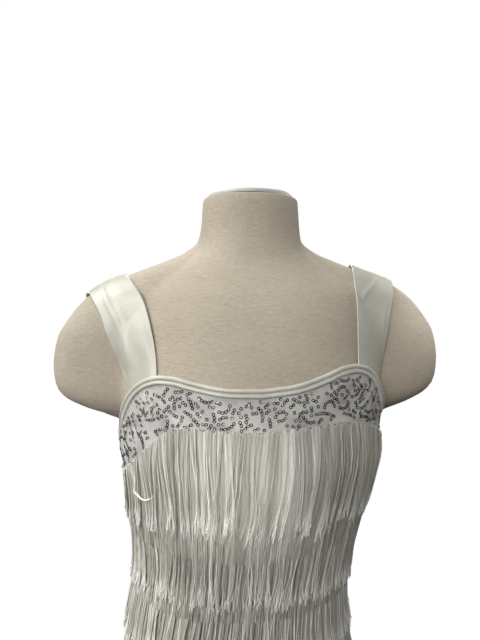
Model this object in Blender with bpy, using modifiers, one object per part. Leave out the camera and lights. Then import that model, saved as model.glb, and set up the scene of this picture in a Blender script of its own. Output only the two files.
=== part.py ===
"""A child's flapper dress on a limbless dress form.

The dress is a straight sheath of stretch cloth with a sequined yoke, a bound top edge, two wide
ribbon straps and seven rows of fringe. It is worn by a cloth-covered form with rounded shoulder
caps, which stands on a pole and a round base.

Metres, +Z up, +X to the wearer's left, the front of the dress towards -Y. The origin is on the
floor, at the middle of the base. Sizes in the tables are millimetres.
"""

import math
import random

import bmesh
import bpy
from mathutils import Vector

MM = 0.001

# ---- driving sizes, in millimetres -------------------------------------------------------------

CHEST_POWER = 2.3           # how square a chest section is: 2 is an ellipse
BLEND_POWER = 4.0           # how sharply the shoulder caps meet the chest
FORM_BASE_Z = 250.0         # underside of the padded form
NECK_TOP_Z = 785.0
WAIST_Z = 440.0
HEM_Z = 200.0               # hem of the sheath
SKIRT_EASE = 5.0            # how far the hem stands off the hips
SKIRT_FOLDS = 9             # soft folds round the hem
SKIRT_FOLD_DEPTH = 2.2

CLOTH = 1.2                 # wall of the yoke and the sheath
CLOTH_OUT = 3.0             # outer face of the cloth, off the form
RIBBON = 1.0                # wall of a strap
RIBBON_OUT = 1.48           # outer face of a strap's ends, off the form
RIBBON_LIFT = 1.5           # how much more the rest of it stands off
STRAP_BRIDGING = 0.9        # how straight it spans the hollow beside the shoulder cap
SEAM_GAP = 0.3
SHEATH_GAP = 0.9            # between the yoke's lower edge and the sheath's flat facets

BINDING_WIDTH = 8.6
BINDING_WALL = 1.1
BINDING_RISE = 1.0          # how far the binding stands above the raw edge
BINDING_CROWN = 0.7         # its rounded middle

HANG_SKEW = 0.04            # the dress hangs higher on the wearer's left: rise per unit of X
SKEW_TOP_Z = 625.0
SKEW_END_Z = 440.0

HEADER_HEIGHT = 8.0         # woven head of a fringe
HEADER_WALL = 1.1
LOCKS_PER_ROW = 32
LOCK_SHARE = 0.7            # share of the pitch that a lock fills at its root
LOCK_TAPER = 0.8            # a lock's width at its tip, as a share of its root
LOCK_WALL_TIP = 1.7
LOCK_BENDS = (0.4, 1.0)     # where a lock bends, as shares of its length, and its tip
FRINGE_GAP = 0.8            # between a header's flat facets and the cloth's
FRINGE_CLEAR = 2.1          # how far a row has leaned out where the next row's header starts
TIP_RAGGED = 5.0

BASE_RADIUS = 140.0
BASE_THICK = 12.0
POLE_RADIUS = 12.5
FLANGE_RADIUS = 48.0
FLANGE_THICK = 6.0
COLLAR_RADIUS = 24.0
COLLAR_HEIGHT = 20.0
NECK_CAP_THICK = 7.0

FORM_RINGS = 33
FORM_COLUMNS = 40
YOKE_COLUMNS = 40
SHEATH_COLUMNS = 20
STRAP_STATIONS = 28
STRAP_COLUMNS = 4

# Half sizes of the form. reach: side outline with the shoulder caps; chest: the trunk alone;
# front, back: depth of the trunk; cap: half depth of a shoulder cap; blunt: how square a cap's end
# is. The rows under FORM_BASE_Z only guide the skirt, which hangs below the form.
FORM = [
    dict(z=150, reach=106, chest=106, front=84, back=88, cap=0, blunt=2.2),
    dict(z=250, reach=105, chest=105, front=83, back=88, cap=0, blunt=2.2),
    dict(z=280, reach=107, chest=107, front=84, back=89, cap=0, blunt=2.2),
    dict(z=320, reach=103, chest=103, front=83, back=84, cap=0, blunt=2.2),
    dict(z=370, reach=97, chest=97, front=80, back=76, cap=0, blunt=2.2),
    dict(z=411, reach=94.5, chest=94.5, front=77, back=71, cap=0, blunt=2.2),
    dict(z=440, reach=94, chest=94, front=76, back=69, cap=0, blunt=2.2),
    dict(z=460, reach=96, chest=96, front=77, back=71, cap=0, blunt=2.2),
    dict(z=497, reach=105, chest=105, front=82, back=78, cap=0, blunt=2.2),
    dict(z=525, reach=112, chest=112, front=86, back=83, cap=0, blunt=2.4),
    dict(z=555, reach=119, chest=119, front=88, back=86, cap=0, blunt=2.8),
    dict(z=574, reach=122, chest=119.5, front=87.5, back=87, cap=12, blunt=3.6),
    dict(z=584, reach=136, chest=119.5, front=87, back=87, cap=29, blunt=4.4),
    dict(z=593, reach=156, chest=119, front=86, back=87, cap=38, blunt=4.8),
    dict(z=603, reach=172, chest=118.5, front=85, back=86.5, cap=42, blunt=5),
    dict(z=614, reach=179, chest=118, front=83.5, back=86, cap=43.5, blunt=5),
    dict(z=632, reach=181, chest=116, front=80.5, back=85, cap=44, blunt=5),
    dict(z=656, reach=178, chest=112, front=74, back=80, cap=45, blunt=4.5),
    dict(z=670, reach=171, chest=107, front=69, back=76, cap=45.5, blunt=4),
    dict(z=689, reach=157, chest=98, front=60, back=68, cap=45, blunt=3.4),
    dict(z=704, reach=138, chest=86, front=53, back=60, cap=40, blunt=3),
    dict(z=717, reach=107, chest=70, front=47.5, back=53, cap=35, blunt=2.6),
    dict(z=726, reach=84, chest=60, front=45.5, back=50, cap=31, blunt=2.4),
    dict(z=735, reach=64, chest=52, front=44.5, back=48, cap=28, blunt=2.2),
    dict(z=746, reach=51, chest=49, front=44, back=46.5, cap=20, blunt=2.2),
    dict(z=760, reach=47.5, chest=47.5, front=43.5, back=45.5, cap=0, blunt=2.2),
    dict(z=785, reach=46, chest=46, front=43, back=45, cap=0, blunt=2.2),
]

# How the form stands: lean: how far it is bent towards +X at this height; tilt: its shoulders' rise
# per unit of X.
POSTURE = [
    dict(z=150, lean=-3, tilt=0.0), dict(z=250, lean=-6, tilt=0.0),
    dict(z=300, lean=-9, tilt=0.0), dict(z=366, lean=-12, tilt=0.0),
    dict(z=396, lean=-12, tilt=0.0), dict(z=435, lean=-9, tilt=0.0),
    dict(z=465, lean=-6, tilt=0.0), dict(z=494, lean=-3.5, tilt=0.0),
    dict(z=520, lean=-1, tilt=0.0), dict(z=545, lean=0, tilt=0.0),
    dict(z=640, lean=0, tilt=0.012), dict(z=735, lean=0, tilt=0.012),
    dict(z=765, lean=0, tilt=0.0), dict(z=785, lean=0, tilt=0.0),
]

# Height of the dress's top edge. turn: degrees round from the nearer side seam (0) to the middle.
TOP_EDGE = [
    dict(turn=0, front=565, back=565), dict(turn=5, front=566, back=566),
    dict(turn=10, front=570.5, back=570), dict(turn=14, front=578, back=575),
    dict(turn=18, front=588, back=581), dict(turn=22, front=598, back=587),
    dict(turn=26, front=606, back=592), dict(turn=33, front=616, back=600),
    dict(turn=42, front=623.5, back=607), dict(turn=50, front=626, back=610),
    dict(turn=57, front=625, back=609.5), dict(turn=65, front=621, back=606),
    dict(turn=80, front=613.8, back=601), dict(turn=90, front=612, back=600),
]

# Height of the seam under the yoke. turn: degrees round from the +X side seam to the -X one.
YOKE_SEAM = [
    dict(turn=0, front=543, back=543), dict(turn=11, front=551, back=548),
    dict(turn=24, front=563, back=554), dict(turn=37, front=573, back=560),
    dict(turn=50, front=579, back=565), dict(turn=60, front=581, back=567),
    dict(turn=72, front=580.5, back=568), dict(turn=90, front=579, back=568),
    dict(turn=103, front=581, back=568), dict(turn=114, front=583.5, back=567.5),
    dict(turn=122, front=582, back=567), dict(turn=128, front=576, back=565),
    dict(turn=136, front=564.5, back=561), dict(turn=144, front=554, back=555),
    dict(turn=153, front=545, back=548), dict(turn=166, front=538, back=539),
    dict(turn=180, front=535, back=535),
]

# The fringe rows under the first, which hangs from the yoke's seam. root: top of the header at the
# middle; side_dip: how much lower it is sewn at the side seams; tips: where the locks end at the
# middle of the front; side_rise: how much higher they end at the sides.
FIRST_TIPS = dict(tips=472, side_rise=14)
LOWER_ROWS = [
    dict(root=522, side_dip=19, tips=424, side_rise=8),
    dict(root=470, side_dip=6, tips=373, side_rise=6),
    dict(root=418, side_dip=2, tips=321, side_rise=4),
    dict(root=366, side_dip=0, tips=269, side_rise=2),
    dict(root=314, side_dip=0, tips=217, side_rise=0),
    dict(root=262, side_dip=0, tips=165, side_rise=0),
]

FRINGE_ROWS = 1 + len(LOWER_ROWS)

# A strap's inner and outer edge, from the front yoke (0) over the shoulder (0.5) to the back (1),
# and how far a soft lengthwise pleat lifts its middle.
STRAP_RIGHT = [
    dict(along=0.0, inner=84, outer=108, pleat=0.0),
    dict(along=0.06, inner=84.5, outer=112, pleat=0.0),
    dict(along=0.13, inner=87, outer=123, pleat=1.4),
    dict(along=0.25, inner=93, outer=135, pleat=1.6),
    dict(along=0.33, inner=99.5, outer=142, pleat=0.9),
    dict(along=0.42, inner=110, outer=150, pleat=0.3),
    dict(along=0.5, inner=117, outer=155, pleat=0.0),
    dict(along=0.58, inner=112, outer=151, pleat=0.0),
    dict(along=0.75, inner=95, outer=134, pleat=0.6),
    dict(along=0.94, inner=85, outer=110, pleat=0.0),
    dict(along=1.0, inner=84, outer=108, pleat=0.0),
]
STRAP_LEFT = [
    dict(along=0.0, inner=87, outer=111, pleat=0.0),
    dict(along=0.06, inner=88, outer=115, pleat=0.0),
    dict(along=0.13, inner=88.5, outer=119, pleat=0.8),
    dict(along=0.25, inner=91, outer=125, pleat=1.0),
    dict(along=0.33, inner=94, outer=130, pleat=0.6),
    dict(along=0.42, inner=99, outer=136, pleat=0.2),
    dict(along=0.5, inner=105, outer=142, pleat=0.0),
    dict(along=0.58, inner=102, outer=139, pleat=0.0),
    dict(along=0.75, inner=92, outer=128, pleat=0.4),
    dict(along=0.94, inner=85, outer=110, pleat=0.0),
    dict(along=1.0, inner=84, outer=108, pleat=0.0),
]
STRAP_TUCK = 6.0            # how far a strap's end goes down behind the yoke

COLOURS = {
    "linen": ((0.62, 0.54, 0.44, 1.0), 0.9, 0.0),
    "painted_steel": ((0.75, 0.74, 0.72, 1.0), 0.4, 0.0),
    "sequin_cloth": ((0.72, 0.72, 0.74, 1.0), 0.5, 0.2),
    "stretch_cloth": ((0.75, 0.74, 0.71, 1.0), 0.7, 0.0),
    "binding": ((0.80, 0.80, 0.74, 1.0), 0.55, 0.0),
    "satin": ((0.80, 0.82, 0.76, 1.0), 0.35, 0.0),
    "fringe": ((0.76, 0.74, 0.69, 1.0), 0.45, 0.0),
}


# ---- smooth curves through the tables -----------------------------------------------------------

def curve_through(rows, key, column):
    """A smooth curve through one column of a table, which never overshoots its rows."""
    xs = [row[key] for row in rows]
    ys = [row[column] for row in rows]
    steps = [b - a for a, b in zip(xs, xs[1:])]
    slopes = [(d - c) / step for c, d, step in zip(ys, ys[1:], steps)]
    bends = [slopes[0]]
    for before, after in zip(slopes, slopes[1:]):
        same_way = before * after > 0
        bends.append(2 * before * after / (before + after) if same_way else 0.0)
    bends.append(slopes[-1])

    def value(x):
        x = min(max(x, xs[0]), xs[-1])
        k = max(i for i in range(len(steps)) if x >= xs[i])
        t = (x - xs[k]) / steps[k]
        start = ys[k] * (1 + 2 * t) * (1 - t) ** 2 + bends[k] * steps[k] * t * (1 - t) ** 2
        end = ys[k + 1] * t * t * (3 - 2 * t) + bends[k + 1] * steps[k] * t * t * (t - 1)
        return start + end

    return value


form = {column: curve_through(FORM, "z", column) for column in FORM[0] if column != "z"}
posture = {column: curve_through(POSTURE, "z", column) for column in ("lean", "tilt")}
top_edge = {side: curve_through(TOP_EDGE, "turn", side) for side in ("front", "back")}
yoke_seam = {side: curve_through(YOKE_SEAM, "turn", side) for side in ("front", "back")}


# ---- the form's surface, and the cloth's, which lies on it --------------------------------------

def trunk_share(x, width, power):
    """Depth of a rounded section at x, as a share of its depth at the middle."""
    return max(0.0, 1 - min(1.0, abs(x) / width) ** power) ** (1 / power)


def depth(x, z, side, off=0.0):
    """How far the form's surface is from the plane of the side seams, off millimetres out."""
    trunk = (form[side](z) + off) * trunk_share(x, form["chest"](z) + off, CHEST_POWER)
    cap = form["cap"](z)
    if cap > 0:
        cap = (cap + off) * trunk_share(x, form["reach"](z) + off, form["blunt"](z))
    return (trunk ** BLEND_POWER + cap ** BLEND_POWER) ** (1 / BLEND_POWER)


def form_ring(z):
    """A level section of the form, from the +X side round the front, closer where a cap starts."""
    reach, hollow = form["reach"](z), 0.93 * form["chest"](z)
    quarter = FORM_COLUMNS // 4
    fine = 160
    points = []
    for side, sign in (("front", -1), ("back", 1)):
        line = []
        for i in range(fine + 1):
            x = reach * math.cos(math.pi / 2 * i / fine)
            line.append(Vector((x, sign * depth(x, z, side))))
        line[0].y = 0.0
        closer = [1 + 2.6 * math.exp(-((p.x - hollow) / 10) ** 2) for p in line]
        half = even_points(line, quarter, closer)
        if side == "front":
            points += half[:-1] + [Vector((-p.x, p.y)) for p in reversed(half[1:])]
        else:
            points += [Vector((-p.x, p.y)) for p in half[:-1]] + list(reversed(half[1:]))
    return [Vector((p.x, p.y, z)) for p in points]


def even_points(line, parts, closer=None):
    """The same line with parts + 1 evenly spaced points, closer together where closer is over 1."""
    closer = closer or [1] * len(line)
    along = [0.0]
    for a, b, share in zip(line, line[1:], closer):
        along.append(along[-1] + (b - a).length * share)
    result, k = [], 0
    for i in range(parts + 1):
        wanted = along[-1] * i / parts
        while k < len(line) - 2 and along[k + 1] < wanted:
            k += 1
        t = (wanted - along[k]) / max(along[k + 1] - along[k], 1e-9)
        result.append(line[k].lerp(line[k + 1], min(t, 1.0)))
    return result


def posed(point):
    """A point of the straight form, or of the dress on it, where the form's posture takes it."""
    rise = posture["tilt"](point.z) * point.x
    return Vector((point.x + posture["lean"](point.z), point.y, point.z + rise))


def dress_point(turn, z, off):
    """A point off millimetres out from the form, turn degrees round the dress from its +X seam."""
    side = "front" if turn % 360 < 180 else "back"
    angle = math.radians(turn % 360)
    across, along = math.cos(angle), abs(math.sin(angle))
    fade = min(1.0, max(0.0, (z - SKEW_END_Z) / (SKEW_TOP_Z - SKEW_END_Z)))
    z = z + HANG_SKEW * fade * form["chest"](z) * across
    drop = min(1.0, max(0.0, (WAIST_Z - z) / (WAIST_Z - HEM_Z)))
    off = off + SKIRT_EASE * drop + SKIRT_FOLD_DEPTH * drop ** 2 * (1 + math.sin(SKIRT_FOLDS * angle))
    x = math.copysign((form["chest"](z) + off) * abs(across) ** (2 / CHEST_POWER), across)
    y = depth(x, z, side, off) if along > 1e-6 else 0.0
    return Vector((x, -y if side == "front" else y, z))


def top_height(turn):
    side = "front" if turn % 360 < 180 else "back"
    return top_edge[side](90 - abs(turn % 180 - 90))


def seam_height(turn):
    turn = turn % 360
    return yoke_seam["front"](turn) if turn < 180 else yoke_seam["back"](360 - turn)


def even_turns(first, last, count, edge):
    """Turns evenly spaced along an edge of the yoke."""
    fine = [first + (last - first) * i / 720 for i in range(721)]
    line = [dress_point(t, edge(t), CLOTH_OUT) for t in fine]
    along = [0.0]
    for a, b in zip(line, line[1:]):
        along.append(along[-1] + (b - a).length)
    turns = []
    for i in range(count + 1):
        wanted = along[-1] * i / count
        k = min(range(len(along)), key=lambda n: abs(along[n] - wanted))
        turns.append(fine[k])
    return turns


# ---- objects ------------------------------------------------------------------------------------

def clear_scene():
    for old in list(bpy.data.objects):
        bpy.data.objects.remove(old, do_unlink=True)


def material(name):
    found = bpy.data.materials.get(name)
    if found:
        return found
    colour, roughness, metallic = COLOURS[name]
    made = bpy.data.materials.new(name)
    made.use_nodes = True
    shader = made.node_tree.nodes["Principled BSDF"]
    shader.inputs["Base Color"].default_value = colour
    shader.inputs["Roughness"].default_value = roughness
    shader.inputs["Metallic"].default_value = metallic
    made.diffuse_color = colour
    return made


def add_object(name, bm, finish, collection, smooth=True, on_form=True):
    """The bmesh, in millimetres, as an object in metres with its faces pointing out."""
    if on_form:
        for vert in bm.verts:
            vert.co = posed(vert.co)
    bmesh.ops.scale(bm, verts=bm.verts, vec=(MM, MM, MM))
    bmesh.ops.recalc_face_normals(bm, faces=bm.faces)
    mesh = bpy.data.meshes.new(name)
    bm.to_mesh(mesh)
    bm.free()
    if smooth:
        mesh.shade_smooth()
        mesh.set_sharp_from_angle(angle=math.radians(40))
    made = bpy.data.objects.new(name, mesh)
    made.data.materials.append(material(finish))
    collection.objects.link(made)
    return made


def bridge(bm, first, second, closed=True):
    """Quads between two rows of corners."""
    count = len(first)
    for i in range(count if closed else count - 1):
        j = (i + 1) % count
        bm.faces.new((first[i], first[j], second[j], second[i]))


def sheet_of(rows):
    """An open surface through rows of points."""
    bm = bmesh.new()
    corners = [[bm.verts.new(p) for p in row] for row in rows]
    for upper, lower in zip(corners, corners[1:]):
        bridge(bm, upper, lower, closed=False)
    return bm


def add_wall(name, rows, wall, finish, collection):
    """A piece of cloth: rows of points on its outer face, given a wall on its inner side."""
    made = add_object(name, sheet_of(rows), finish, collection)
    middle = sum((Vector(v.co) for v in made.data.vertices), Vector()) / len(made.data.vertices)
    facing_out = sum(p.normal.dot(p.center - Vector((0, 0, middle.z))) for p in made.data.polygons)
    if facing_out < 0:
        made.data.flip_normals()
    solid = made.modifiers.new("wall", "SOLIDIFY")
    solid.thickness = wall * MM
    solid.offset = -1
    solid.use_even_offset = True
    return made


# ---- the form and its stand ---------------------------------------------------------------------

def build_form(collection):
    """The padded trunk, neck and shoulder caps, lofted through level rings."""
    fine = [FORM_BASE_Z + (NECK_TOP_Z - FORM_BASE_Z) * i / 1200 for i in range(1201)]
    outline = [Vector((form["reach"](z) + 0.6 * form["front"](z), z / 2)) for z in fine]
    levels = [2 * p.y for p in even_points(outline, FORM_RINGS - 1)]
    bm = bmesh.new()
    rings = [[bm.verts.new(p) for p in form_ring(z)] for z in levels]
    for lower, upper in zip(rings, rings[1:]):
        bridge(bm, lower, upper)
    bm.faces.new(rings[0])
    bm.faces.new(rings[-1])
    return add_object("form_torso", bm, "linen", collection)


def add_turned(name, profile, finish, collection, steps):
    """A turned piece, from the outer side of its profile, listed from the top down."""
    bm = bmesh.new()
    corners = [bm.verts.new((radius, 0, z)) for radius, z in profile]
    for a, b in zip(corners, corners[1:]):
        bm.edges.new((a, b))
    made = add_object(name, bm, finish, collection, smooth=False, on_form=False)
    turn = made.modifiers.new("turn", "SCREW")
    turn.steps = steps
    turn.render_steps = steps
    turn.use_merge_vertices = True
    turn.merge_threshold = 0.0001
    return made


def build_neck_cap(collection):
    """The plain cap on the neck."""
    low = NECK_TOP_Z + SEAM_GAP
    high = low + NECK_CAP_THICK
    radius = form["front"](NECK_TOP_Z) - 1
    profile = [(0, high), (radius - 4, high - 1), (radius, high - 4), (radius, low), (0, low)]
    add_turned("neck_cap", profile, "painted_steel", collection, steps=32)


def build_stand(collection):
    """A round base plate, and a pole with a collar at its foot and a flange under the form."""
    top = FORM_BASE_Z - SEAM_GAP
    foot = BASE_THICK + SEAM_GAP
    pole = [
        (0, top), (FLANGE_RADIUS, top), (FLANGE_RADIUS, top - FLANGE_THICK),
        (POLE_RADIUS, top - FLANGE_THICK - 4), (POLE_RADIUS, foot + COLLAR_HEIGHT),
        (COLLAR_RADIUS, foot + COLLAR_HEIGHT - 5), (COLLAR_RADIUS, foot), (0, foot),
    ]
    add_turned("stand_pole", pole, "painted_steel", collection, steps=24)
    base = [
        (0, BASE_THICK), (BASE_RADIUS - 12, BASE_THICK - 1), (BASE_RADIUS - 2, BASE_THICK - 5),
        (BASE_RADIUS, BASE_THICK - 8), (BASE_RADIUS, 1), (BASE_RADIUS - 1, 0), (0, 0),
    ]
    add_turned("stand_base", base, "painted_steel", collection, steps=56)


# ---- the dress ----------------------------------------------------------------------------------

def half_turns(side):
    """First and last turn of the front or the back, a seam's gap short of the side seams."""
    short = math.degrees(SEAM_GAP / 2 / form["front"](YOKE_SEAM[0]["front"]))
    return (short, 180 - short) if side == "front" else (180 + short, 360 - short)


def build_yoke(side, collection):
    """The sequined band, between its shaped top edge and the seam where the fringe starts."""
    turns = even_turns(*half_turns(side), YOKE_COLUMNS, top_height)
    rows = []
    for share in (0, 0.25, 0.5, 0.75, 1):
        row = []
        for turn in turns:
            top, bottom = top_height(turn), seam_height(turn)
            row.append(dress_point(turn, top + (bottom - top) * share, CLOTH_OUT))
        rows.append(row)
    add_wall(f"yoke_{side}", rows, CLOTH, "sequin_cloth", collection)


def inset_point(turn, inset, off):
    """A point inset millimetres down the cloth from its top edge, square to the edge."""
    step = 0.25
    low, high = top_height(turn - step), top_height(turn + step)
    here = top_height(turn)
    speed = (dress_point(turn + step, here, off) - dress_point(turn - step, here, off)).length
    climb = high - low
    length = math.hypot(speed, climb)
    turn_shift = inset * climb / length / speed * 2 * step
    return dress_point(turn + turn_shift, here - inset * speed / length, off)


def build_binding(side, collection):
    """The folded binding along the neckline and round the armholes."""
    first, last = half_turns(side)
    turns = even_turns(first, last, YOKE_COLUMNS, top_height)
    outer = CLOTH_OUT + SEAM_GAP + BINDING_WALL
    rows = []
    for share, crown in ((0, 0), (0.35, BINDING_CROWN), (0.7, BINDING_CROWN), (1, 0)):
        inset = BINDING_WIDTH * share - BINDING_RISE
        rows.append([inset_point(turn, inset, outer + crown) for turn in turns])
    add_wall(f"binding_{side}", rows, BINDING_WALL, "binding", collection)


def sheath_levels(turn):
    """Heights of a sheath panel's rows of points: its top, each fringe header's edges, its hem."""
    levels = [seam_height(turn) - SHEATH_GAP]
    for index in range(FRINGE_ROWS):
        top = fringe_root(index, turn)
        levels += [top, top - HEADER_HEIGHT] if index else [top - HEADER_HEIGHT]
    bust = (levels[1] + levels[2]) / 2
    return levels[:2] + [bust] + levels[2:] + [HEM_Z]


def build_sheath(side, collection):
    """A panel of the sheath, from the yoke's seam to the hem."""
    turns = even_turns(*half_turns(side), SHEATH_COLUMNS, seam_height)
    columns = [[dress_point(turn, z, CLOTH_OUT) for z in sheath_levels(turn)] for turn in turns]
    add_wall(f"sheath_{side}", list(zip(*columns)), CLOTH, "stretch_cloth", collection)


def shoulder_height(x):
    """Height of the shoulder's ridge at x."""
    low, high = FORM[16]["z"], NECK_TOP_Z
    for _ in range(40):
        middle = (low + high) / 2
        if form["reach"](middle) > x:
            low = middle
        else:
            high = middle
    return low


def strap_line(x, sign, end_x):
    """The form's surface at one x, from the front yoke over the shoulder to the back yoke."""
    ridge = shoulder_height(x)
    end_x = min(x, end_x)
    from_seam = math.degrees(math.acos((end_x / form["chest"](600)) ** (CHEST_POWER / 2)))
    line = []
    for side, face in (("front", -1), ("back", 1)):
        end = top_edge[side](from_seam) + HANG_SKEW * end_x * sign - STRAP_TUCK
        half = []
        for i in range(121):
            z = ridge - (ridge - end) * (1 - i / 120) ** 3
            half.append(Vector((x * sign, face * depth(x, z, side), z)))
        line += half if side == "front" else half[-2::-1]
    return line


def build_strap(name, table, sign, collection):
    """A ribbon strap: the form's own surface under it, moved out."""
    size = {column: curve_through(table, "along", column) for column in ("inner", "outer", "pleat")}
    lines = {}

    def spot(along, x):
        if x not in lines:
            lines[x] = even_points(strap_line(x, sign, table[-1]["outer"]), 400)
        place = min(max(along, 0.0), 1.0) * 400
        k = min(int(place), 399)
        return lines[x][k].lerp(lines[x][k + 1], place - k)

    rows = []
    for i in range(STRAP_STATIONS + 1):
        along = i / STRAP_STATIONS
        inner, outer = size["inner"](along), size["outer"](along)
        lift = RIBBON_LIFT * min(1.0, 2 * math.sin(math.pi * along)) ** 2
        row = []
        for c in range(STRAP_COLUMNS + 1):
            share = c / STRAP_COLUMNS
            x = inner + (outer - inner) * share
            forward = spot(along + 0.01, x) - spot(along - 0.01, x)
            across = spot(along, x + 1) - spot(along, x - 1)
            out = across.cross(forward).normalized() * sign
            straight = spot(along, inner).lerp(spot(along, outer), share)
            bridged = STRAP_BRIDGING * max(0.0, (straight - spot(along, x)).dot(out))
            pleat = size["pleat"](along) * math.sin(math.pi * share) ** 2
            row.append(spot(along, x) + out * (RIBBON_OUT + max(lift, bridged) + pleat))
        rows.append(row)
    add_wall(name, rows, RIBBON, "satin", collection)


# ---- the fringe ---------------------------------------------------------------------------------

def fringe_root(index, turn):
    """Height of the top of a fringe row's header."""
    if index == 0:
        return seam_height(turn) - SEAM_GAP
    row = LOWER_ROWS[index - 1]
    return row["root"] - row["side_dip"] * math.cos(math.radians(turn)) ** 2


def fringe_tips(index, turn):
    """Height where a fringe row's locks end."""
    row = LOWER_ROWS[index - 1] if index else FIRST_TIPS
    return row["tips"] + row["side_rise"] * math.cos(math.radians(turn)) ** 2


def fringe_lean(index, turn):
    """How far a row leans out in each millimetre down, so that it passes over the next header."""
    if index + 1 == FRINGE_ROWS:
        return fringe_lean(index - 1, turn)
    drop = fringe_root(index, turn) - HEADER_HEIGHT - fringe_root(index + 1, turn)
    return FRINGE_CLEAR / drop


def build_fringe(index, collection):
    """A row of fringe: a closed woven header with locks that hang from its lower edge."""
    chance = random.Random(100 + index)
    inner = CLOTH_OUT + FRINGE_GAP
    outer = inner + HEADER_WALL
    pitch = 360 / LOCKS_PER_ROW
    bm = bmesh.new()
    columns = []
    for j in range(LOCKS_PER_ROW):
        for turn in ((j + (1 - LOCK_SHARE) / 2) * pitch, (j + (1 + LOCK_SHARE) / 2) * pitch):
            top = fringe_root(index, turn)
            low = top - HEADER_HEIGHT
            corners = [(top, outer), (low, outer), (low, inner), (top, inner)]
            columns.append([bm.verts.new(dress_point(turn, z, off)) for z, off in corners])
    for i, left in enumerate(columns):
        right = columns[(i + 1) % len(columns)]
        bridge(bm, left[2:] + left[:2], right[2:] + right[:2], closed=False)
        if i % 2:
            bm.faces.new((left[1], left[2], right[2], right[1]))
        else:
            add_lock(bm, index, (i // 2 + 0.5) * pitch, left, right, chance)
    add_object(f"fringe_row_{index + 1}", bm, "fringe", collection, smooth=False)


def add_lock(bm, index, turn, left, right, chance):
    """One lock of threads, from two columns of its header down to its tip."""
    tip = fringe_tips(index, turn) + chance.uniform(-TIP_RAGGED, TIP_RAGGED)
    sway = chance.uniform(-0.7, 0.7)
    half = 360 / LOCKS_PER_ROW * LOCK_SHARE / 2
    ring = [left[1], right[1], right[2], left[2]]
    for share in LOCK_BENDS:
        reach = half * (1 + (LOCK_TAPER - 1) * share)
        wall = HEADER_WALL + (LOCK_WALL_TIP - HEADER_WALL) * share
        below = []
        for across, lift in ((-reach, wall), (reach, wall), (reach, 0), (-reach, 0)):
            here = turn + sway * share + across
            low = (fringe_root(index, here) - HEADER_HEIGHT) * (1 - share) + tip * share
            leaned = fringe_lean(index, here) * (fringe_root(index, here) - HEADER_HEIGHT - low)
            below.append(bm.verts.new(dress_point(here, low, CLOTH_OUT + FRINGE_GAP + leaned + lift)))
        bridge(bm, ring, below)
        ring = below
    bm.faces.new(ring)


def main():
    clear_scene()
    collection = bpy.data.collections.new("flapper_dress_on_form")
    bpy.context.scene.collection.children.link(collection)
    build_stand(collection)
    build_form(collection)
    build_neck_cap(collection)
    for side in ("front", "back"):
        build_yoke(side, collection)
        build_binding(side, collection)
        build_sheath(side, collection)
    build_strap("strap_left", STRAP_LEFT, 1, collection)
    build_strap("strap_right", STRAP_RIGHT, -1, collection)
    for index in range(FRINGE_ROWS):
        build_fringe(index, collection)


main()
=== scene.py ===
# %% [markdown]
# # A fringed flapper dress on its form
#
# A CAD model gives the dress its true sizes: a padded form on a stand, a yoke, a sheath, two
# straps and seven rows of fringe, all as plain solids. This lesson makes the surface that a
# person sees: linen, satin ribbon, sequined stretch cloth, and fringe made of single threads.
#
# The model is loaded as a fixed frame. Everything is in metres, with the front of the dress
# towards -Y, the wearer's left towards +X, and the floor at Z = 0.

# %% load the frame
import math
import random

import bpy
import numpy as np
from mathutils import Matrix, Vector


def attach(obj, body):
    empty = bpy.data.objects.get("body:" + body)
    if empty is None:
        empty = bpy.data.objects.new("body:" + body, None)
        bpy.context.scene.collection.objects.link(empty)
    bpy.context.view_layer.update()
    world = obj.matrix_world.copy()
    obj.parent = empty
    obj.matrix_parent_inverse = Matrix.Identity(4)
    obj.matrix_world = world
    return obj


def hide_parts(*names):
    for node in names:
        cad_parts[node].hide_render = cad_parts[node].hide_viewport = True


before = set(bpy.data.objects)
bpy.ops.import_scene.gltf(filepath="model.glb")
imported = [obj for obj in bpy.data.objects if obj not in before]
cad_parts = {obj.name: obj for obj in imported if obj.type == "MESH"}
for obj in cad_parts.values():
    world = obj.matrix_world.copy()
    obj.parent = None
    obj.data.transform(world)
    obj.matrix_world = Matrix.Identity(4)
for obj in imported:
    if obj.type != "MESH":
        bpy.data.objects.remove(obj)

MM = 0.001
scene = bpy.context.scene
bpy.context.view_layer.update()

# %% [markdown]
# ## The camera
#
# The camera stands close, level with the chest and turned six degrees, so the near shoulder
# looks a little larger than the far one. A level camera keeps upright lines upright.

# %% the camera
CAMERA_TURN, CAMERA_AWAY, CAMERA_HEIGHT = math.radians(-6), 0.49, 0.67
LENS_MM, SENSOR_MM, NEAREST = 28.125, 36, 0.02
SHIFT_PIXELS, LONG_SIDE_PIXELS = -10, 640


def put_in_scene(name, data):
    """An object that holds a mesh, a lamp or a camera, linked to the scene."""
    made = bpy.data.objects.new(name, data)
    scene.collection.objects.link(made)
    return made


eye = bpy.data.cameras.new("eye")
eye.lens, eye.sensor_width, eye.clip_start = LENS_MM, SENSOR_MM, NEAREST
eye.shift_x = SHIFT_PIXELS / LONG_SIDE_PIXELS
camera = put_in_scene("camera", eye)
camera.location = (
    math.sin(CAMERA_TURN) * CAMERA_AWAY, -math.cos(CAMERA_TURN) * CAMERA_AWAY, CAMERA_HEIGHT)
camera.rotation_euler = (math.pi / 2, 0, CAMERA_TURN)
scene.camera = camera
print("camera at", [round(x, 3) for x in camera.location])

# %% [markdown]
# ## The surface that carries everything
#
# A dress form is turned from a few level sections, and the dress lies on it. So one table of
# half sizes, one section curve and one rule for the posture give every point of the form, and
# of the cloth a few millimetres outside it. Tables are in millimetres. Arrays make this fast:
# each function takes and gives whole grids of points.

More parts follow.
